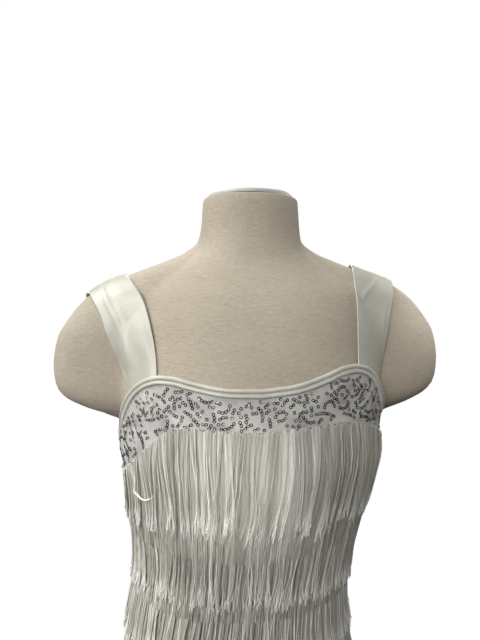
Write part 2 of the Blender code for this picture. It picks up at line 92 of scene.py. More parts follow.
# %% sizes of the form
FORM_COLUMNS = ("z", "reach", "chest", "front", "back", "cap", "blunt")
FORM = [
    (150, 106, 106, 84, 88, 0, 2.2), (250, 105, 105, 83, 88, 0, 2.2),
    (280, 107, 107, 84, 89, 0, 2.2), (320, 103, 103, 83, 84, 0, 2.2),
    (370, 97, 97, 80, 76, 0, 2.2), (411, 94.5, 94.5, 77, 71, 0, 2.2),
    (440, 94, 94, 76, 69, 0, 2.2), (460, 96, 96, 77, 71, 0, 2.2),
    (497, 105, 105, 82, 78, 0, 2.2), (525, 112, 112, 86, 83, 0, 2.4),
    (555, 119, 119, 88, 86, 0, 2.8), (574, 122, 119.5, 87.5, 87, 12, 3.6),
    (584, 136, 119.5, 87, 87, 29, 4.4), (593, 156, 119, 86, 87, 38, 4.8),
    (603, 172, 118.5, 85, 86.5, 42, 5), (614, 179, 118, 83.5, 86, 43.5, 5),
    (632, 181, 116, 80.5, 85, 44, 5), (656, 178, 112, 74, 80, 45, 4.5),
    (670, 171, 107, 69, 76, 45.5, 4), (689, 157, 98, 60, 68, 45, 3.4),
    (704, 138, 86, 53, 60, 40, 3), (717, 107, 70, 47.5, 53, 35, 2.6),
    (726, 84, 60, 45.5, 50, 31, 2.4), (735, 64, 52, 44.5, 48, 28, 2.2),
    (746, 51, 49, 44, 46.5, 20, 2.2), (760, 47.5, 47.5, 43.5, 45.5, 0, 2.2),
    (785, 46, 46, 43, 45, 0, 2.2),
]
POSTURE_COLUMNS = ("z", "lean", "tilt")
POSTURE = [
    (150, -3, 0), (250, -6, 0), (300, -9, 0), (366, -12, 0), (396, -12, 0), (435, -9, 0),
    (465, -6, 0), (494, -3.5, 0), (520, -1, 0), (545, 0, 0), (640, 0, 0.012), (735, 0, 0.012),
    (765, 0, 0), (785, 0, 0),
]
FORM_BASE_Z, NECK_TOP_Z, WAIST_Z, HEM_Z = 250.0, 785.0, 440.0, 200.0
CHEST_POWER, BLEND_POWER = 2.3, 4.0


# %% helpers for arrays of points
def steps_of(line):
    """Lengths of the steps from point to point along a line, or along each row of a grid."""
    return np.linalg.norm(np.diff(line, axis=0), axis=-1)


def running_total(steps):
    return np.concatenate([[0], np.cumsum(steps)])


def unit(vectors):
    """The same directions, each one long."""
    return vectors / np.linalg.norm(vectors, axis=-1, keepdims=True)


# %% a smooth curve through a table
def smooth_curve(rows, columns, key, column):
    """A curve through one column of a table, which never overshoots its rows. Takes arrays."""
    xs = np.array([row[columns.index(key)] for row in rows], float)
    ys = np.array([row[columns.index(column)] for row in rows], float)
    steps = np.diff(xs)
    slopes = np.diff(ys) / steps
    before, after = slopes[:-1], slopes[1:]
    same_way = before * after > 0
    inner = np.where(same_way, 2 * before * after / np.where(same_way, before + after, 1), 0)
    bends = np.concatenate([slopes[:1], inner, slopes[-1:]])

    def value(x):
        x = np.clip(x, xs[0], xs[-1])
        k = np.clip(np.searchsorted(xs, x, side="right") - 1, 0, len(steps) - 1)
        t = (x - xs[k]) / steps[k]
        start = ys[k] * (1 + 2 * t) * (1 - t) ** 2 + bends[k] * steps[k] * t * (1 - t) ** 2
        end = ys[k + 1] * t * t * (3 - 2 * t) + bends[k + 1] * steps[k] * t * t * (t - 1)
        return start + end

    return value


form = {name: smooth_curve(FORM, FORM_COLUMNS, "z", name) for name in FORM_COLUMNS[1:]}
posture = {name: smooth_curve(POSTURE, POSTURE_COLUMNS, "z", name) for name in ("lean", "tilt")}
print("chest half width at the bust:", round(float(form["chest"](560.0)), 1), "mm")


# %% one section of the form
def section_share(x, width, power):
    """Depth of a rounded section at x, as a share of its depth at the middle."""
    return np.clip(1 - np.minimum(1, np.abs(x) / width) ** power, 0, 1) ** (1 / power)


def depth(x, z, side, off=0.0):
    """How far the form's surface is from the plane of the side seams, off millimetres out."""
    trunk = (form[side](z) + off) * section_share(x, form["chest"](z) + off, CHEST_POWER)
    cap = form["cap"](z)
    arm = (cap + off) * section_share(x, form["reach"](z) + off, form["blunt"](z))
    return (trunk ** BLEND_POWER + np.where(cap > 0, arm, 0) ** BLEND_POWER) ** (1 / BLEND_POWER)


def posed(x, y, z):
    """Points of the straight form, in millimetres, where its posture takes them, in metres."""
    return np.stack([x + posture["lean"](z), y, z + posture["tilt"](z) * x], axis=-1) * MM


# %% [markdown]
# ## From rows of points to a piece of cloth
#
# Every cloth piece here is a grid: rows down it, columns across it. The same function makes
# its faces, turns them outwards and gives it a UV map in metres, so that a weave has the same
# thread size on every piece. Solidify then gives a piece of cloth its wall on the inner side.

# %% a grid as a mesh
def grid_piece(name, points, closed=False, capped=False):
    """A surface through points (rows, columns, xyz), facing out, with a UV map in metres."""
    rows, columns = points.shape[:2]
    last = columns if closed else columns - 1
    r, c = [part.ravel() for part in np.meshgrid(range(rows - 1), range(last), indexing="ij")]
    beside = (c + 1) % columns
    faces = np.stack([r * columns + c, r * columns + beside, (r + 1) * columns + beside,
                      (r + 1) * columns + c], axis=1)
    ends = [list(range(columns))[::-1], list(range((rows - 1) * columns, rows * columns))]
    mesh = bpy.data.meshes.new(name)
    mesh.from_pydata(points.reshape(-1, 3), [], faces.tolist() + (ends if capped else []))
    around = np.concatenate([points, points[:, :1]], axis=1) if closed else points
    u, v = np.zeros(around.shape[:2]), np.zeros(around.shape[:2])
    u[:, 1:] = np.cumsum(steps_of(around.swapaxes(0, 1)), axis=0).T
    u -= u[:, u.shape[1] // 2][:, None]
    v[1:] = np.cumsum(steps_of(around), axis=0)
    corners_r, corners_c = np.stack([r, r, r + 1, r + 1], 1), np.stack([c, c + 1, c + 1, c], 1)
    uv = np.stack([u[corners_r, corners_c], v[corners_r, corners_c]], axis=-1).ravel()
    uv = np.concatenate([uv, np.zeros(2 * len(mesh.loops) - len(uv))])
    mesh.uv_layers.new(name="cloth").data.foreach_set("uv", uv)
    middle = Vector((0, 0, float(points[..., 2].mean())))
    if sum(p.normal.dot(p.center - middle) * p.area for p in mesh.polygons) < 0:
        mesh.flip_normals()
    mesh.shade_smooth()
    return put_in_scene(name, mesh)


def cloth_piece(name, points, finish, wall, closed=False):
    """A grid with its finish and a wall of that many millimetres on its inner side."""
    piece = grid_piece(name, points, closed=closed)
    piece.data.materials.append(finish)
    solid = piece.modifiers.new("wall", "SOLIDIFY")
    solid.thickness = wall * MM
    solid.offset = -1
    solid.use_even_offset = True
    return piece


def area_of(piece):
    return sum(p.area for p in piece.data.polygons)


# %% [markdown]
# ## Finishes from nodes
#
# Each material starts as a Principled shader with its plain numbers set on the shader's own
# sockets. Patterns come from noise that is stretched along the threads. One small helper adds
# a node and joins its inputs, in shader trees and in Geometry Nodes alike.

# %% helpers for node trees
def node(tree, kind, inputs=(), **settings):
    """Adds a node. inputs pairs a socket's name or number with a value, a node or a socket."""
    made = tree.nodes.new(kind)
    for key, value in settings.items():
        setattr(made, key, value)
    for place, value in dict(inputs).items():
        named = [s for s in made.inputs if s.name == place and s.enabled]
        socket = made.inputs[place] if isinstance(place, int) else named[0]
        if isinstance(value, bpy.types.Node):
            value = next(s for s in value.outputs if s.enabled)
        if isinstance(value, bpy.types.NodeSocket):
            tree.links.new(value, socket)
        else:
            socket.default_value = value
    return made


def calc(tree, operation, first, second=0.0, third=0.0):
    """One step of arithmetic between numbers, nodes or sockets."""
    return node(tree, "ShaderNodeMath", {0: first, 1: second, 2: third}, operation=operation)


def combine(tree, operation, values):
    """Joins a row of values by one operation, from the first to the last."""
    result = values[0]
    for value in values[1:]:
        result = calc(tree, operation, result, value)
    return result


def weighted(tree, *pairs):
    """A sum of numbers, each times its weight. pairs holds (number, weight)."""
    return combine(tree, "ADD", [
        value if weight == 1 else calc(tree, "MULTIPLY", value, weight)
        for value, weight in pairs])


def vector_calc(tree, operation, first, second=(0, 0, 0), scale=1.0):
    """One step of arithmetic between vectors."""
    return node(tree, "ShaderNodeVectorMath", {0: first, 1: second, 3: scale}, operation=operation)


def xyz(tree, x=0.0, y=0.0, z=0.0):
    """A vector from three numbers, nodes or sockets."""
    return node(tree, "ShaderNodeCombineXYZ", {0: x, 1: y, 2: z})


def own_space(tree):
    """Places in the object's own space."""
    return node(tree, "ShaderNodeTexCoord").outputs["Object"]


def new_finish(name, colour, **numbers):
    """A material with one Principled shader. Returns the material, its tree and the shader."""
    finish = bpy.data.materials.new(name)
    finish.use_nodes = True
    finish.diffuse_color = (*colour, 1)
    shader = finish.node_tree.nodes["Principled BSDF"]
    shader.inputs["Base Color"].default_value = (*colour, 1)
    for socket, value in numbers.items():
        shader.inputs[socket.replace("_", " ").capitalize()].default_value = value
    return finish, finish.node_tree, shader


def stretched_noise(tree, across, down, detail):
    """Noise in the cloth's own UV map: across and down are features per metre."""
    place = node(tree, "ShaderNodeUVMap", uv_map="cloth")
    scaled = node(tree, "ShaderNodeMapping", {"Vector": place, "Scale": (across, down, 1)})
    return node(tree, "ShaderNodeTexNoise", {"Vector": scaled, "Scale": 1.0, "Detail": detail})


def object_noise(tree, scale, detail):
    """Noise in the object's own space: scale is features per metre along x, y and z."""
    scaled = node(tree, "ShaderNodeMapping", {"Vector": own_space(tree), "Scale": scale})
    return node(tree, "ShaderNodeTexNoise", {"Vector": scaled, "Scale": 1.0, "Detail": detail})


def tint(tree, shader, factor, stops):
    """Colours the shader by a factor, through colour stops (position, colour)."""
    ramp = node(tree, "ShaderNodeValToRGB", {"Fac": factor})
    while len(ramp.color_ramp.elements) < len(stops):
        ramp.color_ramp.elements.new(0.5)
    for element, (position, colour) in zip(ramp.color_ramp.elements, stops):
        element.position, element.color = position, (*colour, 1)
    tree.links.new(ramp.outputs["Color"], shader.inputs["Base Color"])


def emboss(tree, shader, height, strength, distance):
    """Bump on the shader from a height, distance millimetres deep."""
    bump = node(tree, "ShaderNodeBump", {
        "Height": height, "Strength": strength, "Distance": distance * MM})
    tree.links.new(bump.outputs[0], shader.inputs["Normal"])


# %% [markdown]
# ## The linen form
#
# The form is padded and covered with plain linen. Linen yarn is uneven: thick places, called
# slubs, show as short darker and lighter dashes along both threads, and bits of husk as flecks.
# Two noises, one stretched each way, give the slubs. They read Object coordinates, so the weft
# stays level on every side, as it does on a cover cut on the straight grain.

# %% linen
linen, tree, shader = new_finish("linen", (0.50, 0.44, 0.35), roughness=0.92)
shader.inputs["Sheen Weight"].default_value = 0.12
shader.inputs["Specular IOR Level"].default_value = 0.2
weft = object_noise(tree, (170, 170, 1500), 3.0)
warp = object_noise(tree, (1300, 1300, 190), 3.0)
broad = object_noise(tree, (15, 15, 22), 3.0)
flecks = node(tree, "ShaderNodeMapRange", {
    "Value": object_noise(tree, (420, 420, 900), 1.0), "From Min": 0.69, "From Max": 0.76})
slubs = weighted(tree, (weft, 0.5), (warp, 0.3))
tint(tree, shader, weighted(tree, (slubs, 1), (broad, 0.2), (flecks, -0.12)), [
    (0.30, (0.38, 0.32, 0.24)), (0.42, (0.465, 0.405, 0.32)), (0.50, (0.51, 0.45, 0.36)),
    (0.64, (0.58, 0.52, 0.425))])
emboss(tree, shader, slubs, 0.5, 0.45)

# %% rings of the form's cover
FORM_RINGS, FORM_SIDES, HALF_POINTS = 104, 144, 240
CAP_START, CAP_CLOSER, CAP_CLOSER_WIDE = 0.93, 2.6, 10
HEM_ROUND = ((0, 0), (0.3, 0), (0.6, 0), (0.85, 0), (0.955, 0), (0.985, 0.4), (0.997, 1.6))


def form_ring(z):
    """A level section from the +X side round the front, closer where a shoulder cap starts."""
    hollow = CAP_START * form["chest"](z)
    half = []
    for side, sign in (("front", -1), ("back", 1)):
        x = form["reach"](z) * np.cos(np.linspace(0, math.pi / 2, HALF_POINTS))
        y = depth(x, z, side)
        y[0] = 0.0
        closer = 1 + CAP_CLOSER * np.exp(-((x[1:] - hollow) / CAP_CLOSER_WIDE) ** 2)
        along = running_total(np.hypot(np.diff(x), np.diff(y)) * closer)
        even = np.linspace(0, along[-1], FORM_SIDES // 4 + 1)
        half.append((np.interp(even, along, x), sign * np.interp(even, along, y)))
    (fx, fy), (bx, by) = half
    x = np.concatenate([fx[:-1], -fx[::-1][:-1], -bx[:-1], bx[::-1][:-1]])
    y = np.concatenate([fy[:-1], fy[::-1][:-1], by[:-1], by[::-1][:-1]])
    return x, y


# %% the cover
# Rings lie closer where the outline turns fast, so their spacing follows its own length.
heights = np.linspace(FORM_BASE_Z, NECK_TOP_Z, 1400)
outline = np.hypot(np.diff(form["reach"](heights) + 0.6 * form["front"](heights)),
                   np.diff(heights) / 2)
even = np.linspace(0, outline.sum(), FORM_RINGS)
levels = np.interp(even, running_total(outline), heights)
sizes = [(max(share, 0.001), FORM_BASE_Z + lift) for share, lift in HEM_ROUND]
sizes += [(1, z) for z in levels[1:-1]]
sizes += [(max(share, 0.001), NECK_TOP_Z - drop) for share, drop in reversed(HEM_ROUND)]
rings = []
for share, z in sizes:
    x, y = form_ring(z)
    rings.append(posed(x * share, y * share, z + 0 * x))
form_cover = grid_piece("linen_form", np.array(rings), closed=True, capped=True)
form_cover.data.materials.append(linen)
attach(form_cover, "root")
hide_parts("form_torso")
print("form cover:", len(form_cover.data.polygons), "faces")

# %% [markdown]
# ## The stand
#
# A pole with a collar and a flange, a round base and a neck cap are turned pieces: a profile
# spun round an axis. Corners get a small round, because a painted edge is never sharp.

# %% painted steel
steel, tree, shader = new_finish("painted_steel", (0.62, 0.61, 0.59), roughness=0.38)
skin = node(tree, "ShaderNodeTexNoise", {
    "Vector": own_space(tree), "Scale": 420.0, "Detail": 1.0})
wear = node(tree, "ShaderNodeTexNoise", {
    "Vector": own_space(tree), "Scale": 22.0, "Detail": 4.0})
tint(tree, shader, wear, [(0.3, (0.56, 0.55, 0.53)), (0.7, (0.66, 0.65, 0.63))])
emboss(tree, shader, skin, 0.12, 0.2)


# %% turned pieces
LEAST_RADIUS, ROUND_STEPS = 0.05, (0, 0.25, 0.5, 0.75, 1)


def rounded(profile, radius):
    """A profile of (radius, height) with each inner corner cut by a small round."""
    result = [profile[0]]
    for before, corner, after in zip(profile, profile[1:], profile[2:]):
        a, b, c = (np.array(p, float) for p in (before, corner, after))
        cut = min(radius, np.linalg.norm(a - b) / 2.2, np.linalg.norm(c - b) / 2.2)
        start, end = b + unit(a - b) * cut, b + unit(c - b) * cut
        for t in ROUND_STEPS:
            result.append(start * (1 - t) ** 2 + 2 * b * t * (1 - t) + end * t * t)
    return result + [profile[-1]]


def turned_piece(name, profile, sides, radius, node_name):
    """A turned solid that stands for a CAD node."""
    line = np.array([(max(p[0], LEAST_RADIUS), p[1]) for p in rounded(profile, radius)])
    turn = np.linspace(0, 2 * math.pi, sides, endpoint=False)
    points = np.stack([line[:, :1] * np.cos(turn), line[:, :1] * np.sin(turn),
                       line[:, 1:] + 0 * turn], axis=-1) * MM
    made = grid_piece(name, points, closed=True, capped=True)
    made.data.materials.append(steel)
    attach(made, "root")
    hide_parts(node_name)


STAND = [  # name, CAD node, sides, rounding, and the profile as (radius, height)
    ("neck_plate", "neck_cap", 96, 1.2,
     [(0, 792.3), (38, 791.5), (42, 788.3), (42, 785.3), (0, 785.3)]),
    ("pole", "stand_pole", 72, 1.5,
     [(0, 249.7), (48, 249.7), (48, 243.7), (12.5, 239.7), (12.5, 32.3), (24, 27.3), (24, 12.3),
      (0, 12.3)]),
    ("base", "stand_base", 160, 1.0,
     [(0, 12), (128, 11), (138, 7), (140, 4), (140, 0.8), (139, 0), (0, 0)]),
]
for name, node_name, sides, radius, profile in STAND:
    turned_piece(name, profile, sides, radius, node_name)
print("stand turned:", len(STAND), "pieces")

# %% [markdown]
# ## Where the dress lies
#
# The dress is round the same sections, a few millimetres out. A place on it is a turn, in
# degrees round from the wearer's left side seam by the front, and a height. The dress hangs a
# little higher on the wearer's left, and below the waist it stands off in soft folds.

# %% edges of the yoke
EDGE_COLUMNS = ("turn", "front", "back")
TOP_EDGE = [
    (0, 565, 565), (5, 566, 566), (10, 570.5, 570), (14, 578, 575), (18, 588, 581),
    (22, 598, 587), (26, 606, 592), (33, 616, 600), (42, 623.5, 607), (50, 626, 610),
    (57, 625, 609.5), (65, 621, 606), (80, 613.8, 601), (90, 612, 600),
]
YOKE_SEAM = [
    (0, 543, 543), (11, 551, 548), (24, 563, 554), (37, 573, 560), (50, 579, 565),
    (60, 581, 567), (72, 580.5, 568), (90, 579, 568), (103, 581, 568), (114, 583.5, 567.5),
    (122, 582, 567), (128, 576, 565), (136, 564.5, 561), (144, 554, 555), (153, 545, 548),
    (166, 538, 539), (180, 535, 535),
]
top_edge = {side: smooth_curve(TOP_EDGE, EDGE_COLUMNS, "turn", side) for side in EDGE_COLUMNS[1:]}
yoke_seam = {side: smooth_curve(YOKE_SEAM, EDGE_COLUMNS, "turn", side)
             for side in EDGE_COLUMNS[1:]}


def top_height(turn):
    near = 90 - np.abs(turn % 180 - 90)
    return np.where(turn % 360 < 180, top_edge["front"](near), top_edge["back"](near))


def seam_height(turn):
    turn = turn % 360
    return np.where(turn < 180, yoke_seam["front"](turn), yoke_seam["back"](360 - turn))


# %% a place on the dress
HANG_SKEW, SKEW_TOP_Z, SKEW_END_Z = 0.04, 625.0, 440.0
SKIRT_EASE, SKIRT_FOLDS, SKIRT_FOLD_DEPTH = 5.0, 9, 2.2
CLOTH_OUT = 3.0


def dress_points(turn, z, off):
    """Points off millimetres out from the form. turn, z and off are numbers or arrays."""
    turn, z, off = np.broadcast_arrays(np.asarray(turn, float), z, off)
    angle = np.radians(turn)
    across = np.cos(angle)
    fade = np.clip((z - SKEW_END_Z) / (SKEW_TOP_Z - SKEW_END_Z), 0, 1)
    z = z + HANG_SKEW * fade * form["chest"](z) * across
    drop = np.clip((WAIST_Z - z) / (WAIST_Z - HEM_Z), 0, 1)
    folds = 1 + np.sin(SKIRT_FOLDS * angle)
    off = off + SKIRT_EASE * drop + SKIRT_FOLD_DEPTH * drop ** 2 * folds
    x = np.sign(across) * (form["chest"](z) + off) * np.abs(across) ** (2 / CHEST_POWER)
    y = np.where(np.sin(angle) >= 0, -depth(x, z, "front", off), depth(x, z, "back", off))
    return posed(x, y, z)


def even_turns(first, last, count, edge):
    """Turns that are evenly spaced along an edge of the yoke."""
    fine = np.linspace(first, last, 1441)
    line = dress_points(fine, edge(fine), CLOTH_OUT)
    along = running_total(steps_of(line))
    return np.interp(np.linspace(0, along[-1], count), along, fine)


HALVES = {"front": (0.1, 179.9), "back": (180.1, 359.9)}
for side, (first, last) in HALVES.items():
    turns = np.linspace(first, last, 400)
    edge = dress_points(turns, top_height(turns), CLOTH_OUT)
    print(side, "top edge:", round(float(steps_of(edge).sum()), 3), "m")

# %% [markdown]
# ## Sequined stretch cloth
#
# The yoke is a white knit with a cool cast, tight enough to lie flat but puckered at the side
# seams and gathered a little along the lower one. Knit loops are under a millimetre, so they are
# colour and bump. The larger puckers are ridges given one by one: each has a middle, a length, a
# lean and a height. Finer slanting ridges fill the space under each arm.

# %% knit
knit, tree, shader = new_finish("yoke_knit", (0.52, 0.51, 0.52), roughness=0.55)
shader.inputs["Sheen Weight"].default_value = 0.25
loops = stretched_noise(tree, 1500, 900, 1.0)
# The broad noise gives the knit a cool tint, and its strong light and dark patches are painted
# shade of small wrinkles.
cast_and_painted_shade = stretched_noise(tree, 34, 42, 3.0)
tint(tree, shader, weighted(tree, (cast_and_painted_shade, 0.75), (loops, 0.25)), [
    (0.36, (0.35, 0.335, 0.325)), (0.45, (0.50, 0.47, 0.455)), (0.53, (0.55, 0.54, 0.505)),
    (0.64, (0.66, 0.66, 0.60))])
emboss(tree, shader, loops, 0.35, 0.3)

# %% puckers
PUCKERS = [  # turn, share of the way down, lean, then length, width and depth in millimetres
    (158, 0.30, 0.5, 16, 3.2, 0.9), (163, 0.55, 0.7, 20, 3.6, 1.0), (151, 0.62, 0.9, 15, 2.8, 0.7),
    (170, 0.42, 0.2, 12, 3.0, 0.8), (146, 0.40, 0.6, 12, 2.6, 0.5), (20, 0.45, -0.6, 16, 3.4, 0.8),
    (12, 0.60, -0.4, 14, 3.0, 0.8), (30, 0.66, -0.8, 12, 2.8, 0.5), (104, 0.75, 0.1, 10, 4.5, 0.3),
    (78, 0.70, -0.1, 12, 4.0, 0.3), (196, 0.50, -0.5, 16, 3.2, 0.8), (205, 0.66, -0.8, 13, 3, 0.5),
    (342, 0.48, 0.5, 15, 3.2, 0.8), (333, 0.64, 0.8, 12, 3.0, 0.5), (262, 0.72, 0.1, 12, 4.2, 0.3),
    (281, 0.66, -0.1, 10, 4.0, 0.3),
]
MM_PER_DEGREE = 1.9
GATHER_HEIGHT, GATHER_REACH = 0.46, 10
ARM_FOLD_HEIGHT, ARM_FOLD_TURN, ARM_FOLD_WIDE = 1.15, 32, 18
RELIEF_LIMIT = 2.9


def pucker_relief(turn, z, top, bottom):
    """Height of the puckers at places on the yoke, in millimetres, never below the cloth."""
    relief = np.zeros_like(z)
    for middle, down, lean, long, wide, deep in PUCKERS:
        side = (turn - middle) * MM_PER_DEGREE
        fall = z - (top - (top - bottom) * down)
        along = (fall + lean * side) / math.hypot(1, lean)
        beside = (side - lean * fall) / math.hypot(1, lean)
        relief += 0.9 * deep * np.exp(-(along / long) ** 2) * np.exp(-(beside / wide) ** 2)
    # gathers along the seam, then a fine cockle all over, then folds beside each arm
    phase = np.radians(turn * 46 + 190 * np.sin(np.radians(turn * 7.3)))
    gathers = GATHER_HEIGHT * (1 + np.sin(phase)) * (
        0.55 + 0.45 * np.sin(np.radians(turn * 11)))
    relief += gathers * np.exp(-((z - bottom - 2) / GATHER_REACH) ** 2)
    bend = np.radians(turn * 21 + 7 * z + 70 * np.sin(np.radians(turn * 5)))
    relief += 0.24 * (1 + np.sin(bend) * np.sin(np.radians(17 * z - 8 * turn)))
    inward = np.minimum(turn % 180, 180 - turn % 180)
    fold = np.radians(64 * inward + 30 * z + 70 * np.sin(z / 8) + 90 * np.sin(inward / 5))
    relief += ARM_FOLD_HEIGHT * (1 + np.sin(fold)) * np.exp(
        -((inward - ARM_FOLD_TURN) / ARM_FOLD_WIDE) ** 2)
    share = np.clip((top - z) / (top - bottom), 0, 1)
    at_edges = np.minimum(1, 4 * share) * (1 - 0.65 * share ** 6)
    return RELIEF_LIMIT * np.tanh(relief / RELIEF_LIMIT) * at_edges


# %% the yoke
YOKE_SIDES, YOKE_ROWS, YOKE_WALL = 168, 26, 0.9
yokes = {}
for side, (first, last) in HALVES.items():
    turns = even_turns(first, last, YOKE_SIDES, top_height)
    top, bottom = top_height(turns), seam_height(turns)
    share = np.linspace(0, 1, YOKE_ROWS)[:, None]
    z = top + (bottom - top) * share
    turn = turns + 0 * share
    points = dress_points(turn, z, CLOTH_OUT + pucker_relief(turn, z, top, bottom))
    yokes[side] = cloth_piece(f"yoke_cloth_{side}", points, knit, YOKE_WALL)
    print(side, "yoke:", round(area_of(yokes[side]), 4), "square metres")

# %% [markdown]
# ## Ring sequins in curling chains
#
# The sequins are small cupped rings, sewn edge to edge in short chains that wander like
# handwriting. A walk that turns a little at each step draws a chain, and a step that comes too
# near an earlier ring, or too near an edge, ends it. Geometry Nodes then set a ring on each
# place, square to the cloth and tipped a little, because no two catch the light alike.

# %% chains of places
SEQUIN_ACROSS, SEQUIN_HOLE, SEQUIN_LIFT = 2.9, 1.35, 0.25
RIM_CLEAR, SEAM_CLEAR = 7.2, 2.2
APART_IN_CHAIN, APART_FROM_OTHERS = 0.9, 1.16
CHAIN_LENGTHS, MOST_CHAINS = (2, 3, 4, 5, 5, 6, 7, 9), 9000
TURN_STEP, HEIGHT_STEP = 0.2, 0.4


def walk_chains(side, wanted, seed):
    """Places for sequins on one yoke: their points and the way the cloth faces there."""
    chance = random.Random(seed)
    first, last = HALVES[side]
    rim = np.linspace(first, last, 500)
    top_line = dress_points(rim, top_height(rim), CLOTH_OUT)
    seam_line = dress_points(rim, seam_height(rim), CLOTH_OUT)
    places, normals, chains = [], [], []

    def surface(turn, z):
        top, bottom = top_height(np.array(turn)), seam_height(np.array(turn))
        relief = pucker_relief(np.array([turn]), np.array([z]), top, bottom)[0]
        return dress_points(turn, z, CLOTH_OUT + SEQUIN_LIFT + relief)

    def free(point, chain):
        if np.linalg.norm(top_line - point, axis=1).min() < RIM_CLEAR * MM:
            return False
        if np.linalg.norm(seam_line - point, axis=1).min() < SEAM_CLEAR * MM:
            return False
        if not places:
            return True
        apart = np.linalg.norm(np.array(places) - point, axis=1) / SEQUIN_ACROSS / MM
        same = np.array(chains) == chain
        return (apart > np.where(same, APART_IN_CHAIN, APART_FROM_OTHERS)).all()

    for chain in range(MOST_CHAINS):
        if len(places) >= wanted:
            break
        inward = chance.choice((180, 180, 180, 110, 90)) * chance.random()
        turn = first + inward if chance.random() < 0.5 else last - inward
        turn = min(max(turn, first + 1.5), last - 1.5)
        top, bottom = float(top_height(np.array(turn))), float(seam_height(np.array(turn)))
        z = chance.uniform(bottom, top)
        heading, curl = chance.uniform(0, 2 * math.pi), chance.uniform(-0.6, 0.6)
        for _ in range(chance.choice(CHAIN_LENGTHS)):
            here = surface(turn, z)
            beside = surface(turn + TURN_STEP, z) - here
            above = surface(turn, z + HEIGHT_STEP) - here
            if not (first + 1 < turn < last - 1) or not free(here, chain):
                break
            places.append(here)
            chains.append(chain)
            out = np.cross(beside, above)
            facing = here - np.array([0, 0, here[2]])
            normals.append(unit(out) * (1 if out @ facing > 0 else -1))
            speed = np.linalg.norm(beside) / TURN_STEP / MM
            turn += math.cos(heading) * SEQUIN_ACROSS * 0.98 / speed
            z += math.sin(heading) * SEQUIN_ACROSS * 0.98
            heading += curl + chance.uniform(-0.14, 0.14)
    return np.array(places), np.array(normals)


# %% [markdown]
# ### Trees that repeat small things
#
# A tree gets named inputs for its sizes. It is run on a mesh of points or edges, and the
# result is copied to a plain mesh, so that nothing live stays behind.

# %% running a tree
def start_tree(name, inputs):
    """A Geometry Nodes tree with a geometry socket at each end, and named inputs."""
    tree = bpy.data.node_groups.new(name, "GeometryNodeTree")
    tree.interface.new_socket("Geometry", in_out="INPUT", socket_type="NodeSocketGeometry")
    for label, kind in inputs.items():
        tree.interface.new_socket(label, in_out="INPUT", socket_type="NodeSocket" + kind)
    tree.interface.new_socket("Geometry", in_out="OUTPUT", socket_type="NodeSocketGeometry")
    given = {s.name: s for s in tree.nodes.new("NodeGroupInput").outputs if s.name}
    return tree, given


def end_tree(tree, geometry, finish):
    """Ends a tree in Realize Instances and Set Material."""
    real = node(tree, "GeometryNodeRealizeInstances", {"Geometry": geometry})
    dressed = node(tree, "GeometryNodeSetMaterial", {"Geometry": real, "Material": finish})
    node(tree, "NodeGroupOutput", {0: dressed})


def run_tree(tree, source, name, values):
    """The tree's result on a mesh object, as a plain mesh object. The source is removed."""
    modifier = source.modifiers.new(name, "NODES")
    modifier.node_group = tree
    for socket in tree.interface.items_tree:
        if socket.in_out == "INPUT" and socket.name in values:
            modifier[socket.identifier] = values[socket.name]
    seen = source.evaluated_get(bpy.context.evaluated_depsgraph_get())
    mesh = bpy.data.meshes.new_from_object(seen)
    mesh.name = name
    source.modifiers.remove(modifier)
    bpy.data.objects.remove(source, do_unlink=True)
    made = put_in_scene(name, mesh)
    print(name + ":", sum(len(p.vertices) - 2 for p in mesh.polygons), "triangles")
    return made


def point_mesh(name, points, edges=(), **vectors):
    """A mesh of bare points, or of lines, with a vector stored on each point."""
    mesh = bpy.data.meshes.new(name)
    mesh.from_pydata(np.asarray(points).reshape(-1, 3), list(edges), [])
    for label, values in vectors.items():
        stored = mesh.attributes.new(label, "FLOAT_VECTOR", "POINT")
        stored.data.foreach_set("vector", np.asarray(values, np.float32).ravel())
    return put_in_scene(name, mesh)


def chance_of(tree, low, high, key, seed):
    """A random number for each key, the same on every run."""
    return node(tree, "FunctionNodeRandomValue", {"Min": low, "Max": high, "ID": key, "Seed": seed})


def stored_value(tree, name, kind="FLOAT_VECTOR"):
    """A value that each point of a mesh keeps under a name."""
    return node(tree, "GeometryNodeInputNamedAttribute", {"Name": name}, data_type=kind)


def turned_by(tree, rotation, x=0.0, y=0.0, z=0.0):
    """A rotation that is turned further about its own axes, in radians."""
    further = node(tree, "FunctionNodeEulerToRotation", {0: xyz(tree, x, y, z)})
    return node(tree, "FunctionNodeRotateRotation", {
        "Rotation": rotation, "Rotate By": further}, rotation_space="LOCAL")


# %% the sequin's finish and its ring
silver, tree, shader = new_finish("silver_film", (0.42, 0.42, 0.44), roughness=0.24, metallic=0.9)
# Most rings are painted near black, a painted dark reflection, and the noise paints a few white, as
# painted glints.
painted_glints_and_dark_reflections = node(tree, "ShaderNodeTexNoise", {
    "Vector": own_space(tree), "Scale": 330.0, "Detail": 1.0})
tint(tree, shader, painted_glints_and_dark_reflections, [
    (0.40, (0.02, 0.02, 0.022)), (0.57, (0.07, 0.07, 0.075)), (0.68, (0.80, 0.80, 0.82))])

